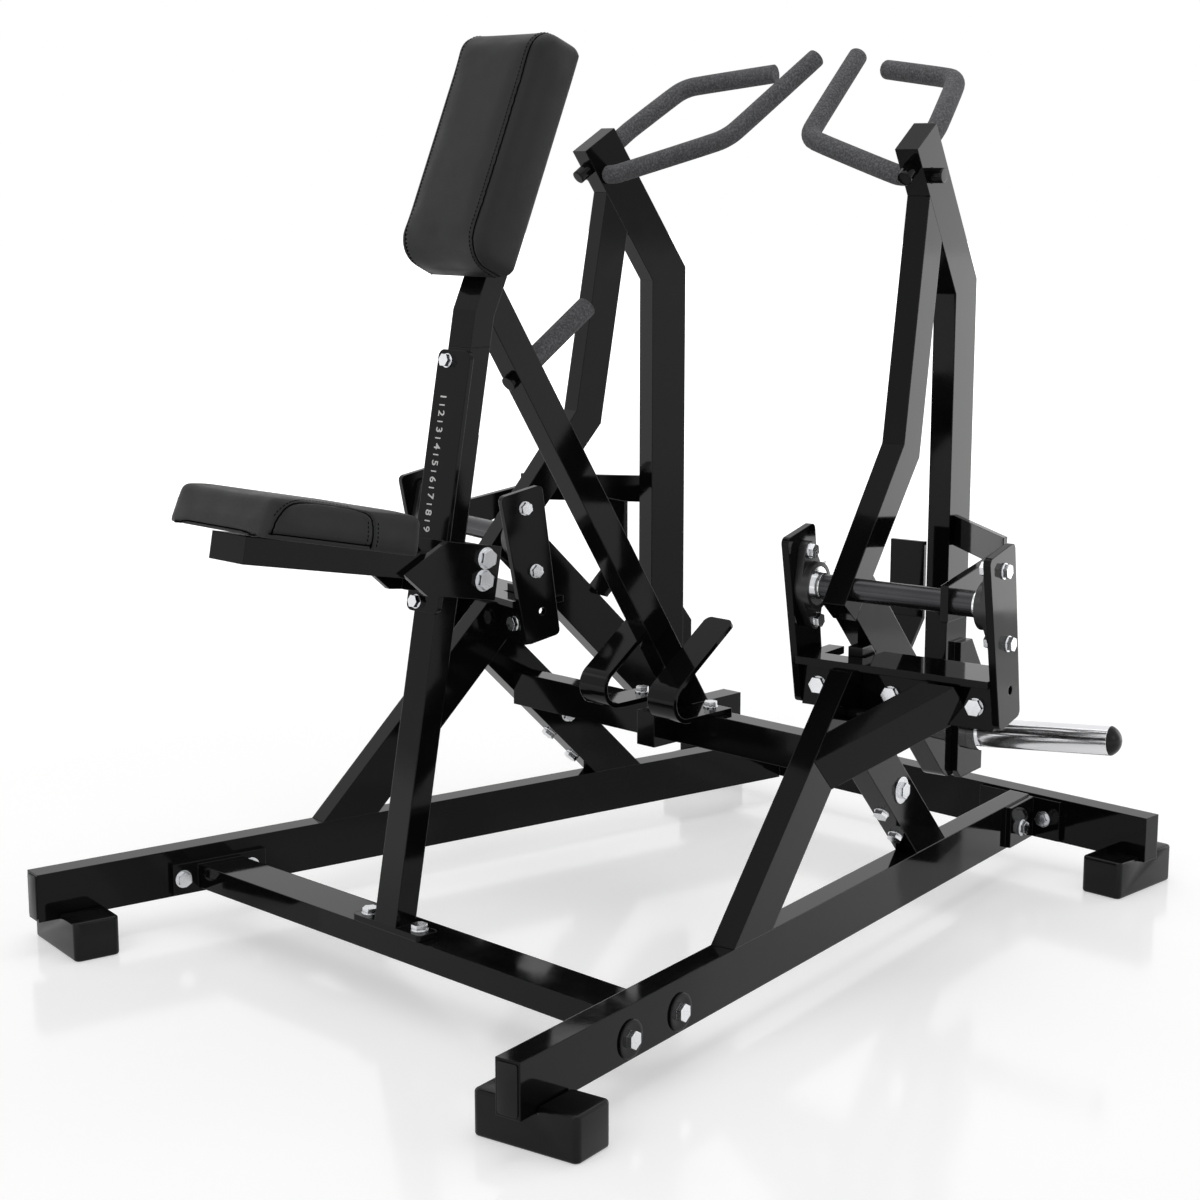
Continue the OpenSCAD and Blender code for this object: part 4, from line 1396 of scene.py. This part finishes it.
@dataclass
class Studio:
    """The floor, the world, the lamps and the camera."""

    floor_size: float = 60.0
    floor_gloss: Pair = (0.12, 0.16)
    floor_tones: Pair = (0.8, 0.815)
    near_glow: float = 0.42
    glow_span: Pair = (1.6, 6.0)
    ambient: float = 0.4
    camera_place: tuple[float, float, float] = (2.603, -2.7187, 1.265)
    camera_pitch: float = 10.72
    camera_azimuth: float = 44.62
    lens: float = 68.67
    sensor: float = 36.0
    softboxes: tuple[Softbox, ...] = (
        Softbox("back_softbox", (1.25, 2.7, 0.95), (1.0, 1.7), 2.0, (0.6, 0.3, 0.95)),
        Softbox("front_softbox", (0.6, -3.6, 2.7), (2.2, 2.0), 1.6, (0.0, 0.0, 0.8)),
        Softbox("right_softbox", (3.6, 0.8, 1.9), (1.6, 1.6), 0.9),
        Softbox("top_softbox", (0.2, 0.2, 3.6), (2.6, 2.6), 1.1),
        Softbox("left_softbox", (-3.4, -1.8, 2.0), (0.8, 2.4), 0.9),
    )

    def floor(self) -> None:
        """Lays a white floor that keeps its shadows."""
        take()
        bpy.ops.mesh.primitive_plane_add(size=self.floor_size)
        floor = rename(bpy.context.object, "studio_floor")
        sheet = NodeSheet("studio_floor")
        for key, value in zip(("Roughness", "Specular IOR Level"), self.floor_gloss):
            sheet.shader.inputs[key].default_value = value
        dark, light = ((tone, tone, tone) for tone in self.floor_tones)
        sheet.link(sheet.blend(sheet.noise(0.6), dark, light), sheet.shader.inputs["Base Color"])
        away = sheet.maths("LENGTH", sheet.place)
        near = sheet.spread(away.outputs["Value"], self.near_glow, 1.0, *self.glow_span)
        glow = sheet.maths("MULTIPLY", plainly_seen(sheet.tree), near, kind="Math")
        sheet.shader.inputs["Emission Color"].default_value = (1.0, 1.0, 1.0, 1.0)
        sheet.link(glow.outputs[0], sheet.shader.inputs["Emission Strength"])
        floor.data.materials.append(sheet.material)

    def world(self) -> None:
        """Sets a white backdrop and a plain grey ambient light."""
        world = bpy.data.worlds.new("studio")
        bpy.context.scene.world = world
        world.use_nodes = True
        nodes, links = world.node_tree.nodes, world.node_tree.links
        nodes.clear()
        strength = nodes.new("ShaderNodeMix")
        strength.inputs[2].default_value = self.ambient
        strength.inputs[3].default_value = 1.0
        links.new(plainly_seen(world.node_tree), strength.inputs[0])
        light = nodes.new("ShaderNodeBackground")
        light.inputs["Color"].default_value = (1.0, 1.0, 1.0, 1.0)
        links.new(strength.outputs[0], light.inputs["Strength"])
        out = nodes.new("ShaderNodeOutputWorld")
        links.new(light.outputs[0], out.inputs["Surface"])

    def camera(self) -> None:
        """Sets up the camera."""
        data = bpy.data.cameras.new("camera")
        data.lens = self.lens
        data.sensor_width = self.sensor
        camera = bpy.data.objects.new("camera", data)
        camera.location = self.camera_place
        camera.rotation_euler = (math.radians(90 - self.camera_pitch), 0.0,
                                 math.radians(self.camera_azimuth))
        bpy.context.scene.collection.objects.link(camera)
        bpy.context.scene.camera = camera

    def build(self) -> None:
        """Builds the whole studio."""
        bpy.context.scene.view_settings.view_transform = "Standard"
        self.camera()
        self.floor()
        self.world()
        for softbox in self.softboxes:
            softbox.build()
        LOG.info("studio")


def main() -> None:
    """Dresses the CAD nodes, then builds every piece and the studio."""
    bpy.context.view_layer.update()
    for part in frame["record"]["subparts"]:
        PAINT.dress(frame["nodes"][part["node"]], part["material_slot"])
    LOG.info("dressed %d nodes", len(frame["nodes"]))
    Studio().build()
    chest = Slab("chest_pad", math.radians(25), True, end_radius=24 * MM,
                 grow=(8 * MM, 14 * MM, 3.0 * MM, 7 * MM), widen=12 * MM,
                 tip=math.radians(-1.3), pivot=0.0)
    seat = Slab("seat_pad", math.radians(11), False,
                grow=(19 * MM, -8 * MM, 14 * MM, -8 * MM), widen=12 * MM, tip=math.radians(1.1))
    ChestPad(chest, "frame", ("chest_pad",)).build()
    SeatPad(seat, "seat", ("seat_pad", "seat_board")).build()
    for side in Side:
        RoundBars(side).build()
    RubberFeet().build()
    HeightScale().build()
    for side in Side:
        RailHardware(side).build()
        BearingHardware(side).build()
    bpy.context.view_layer.update()


if __name__ == "__main__":
    main()
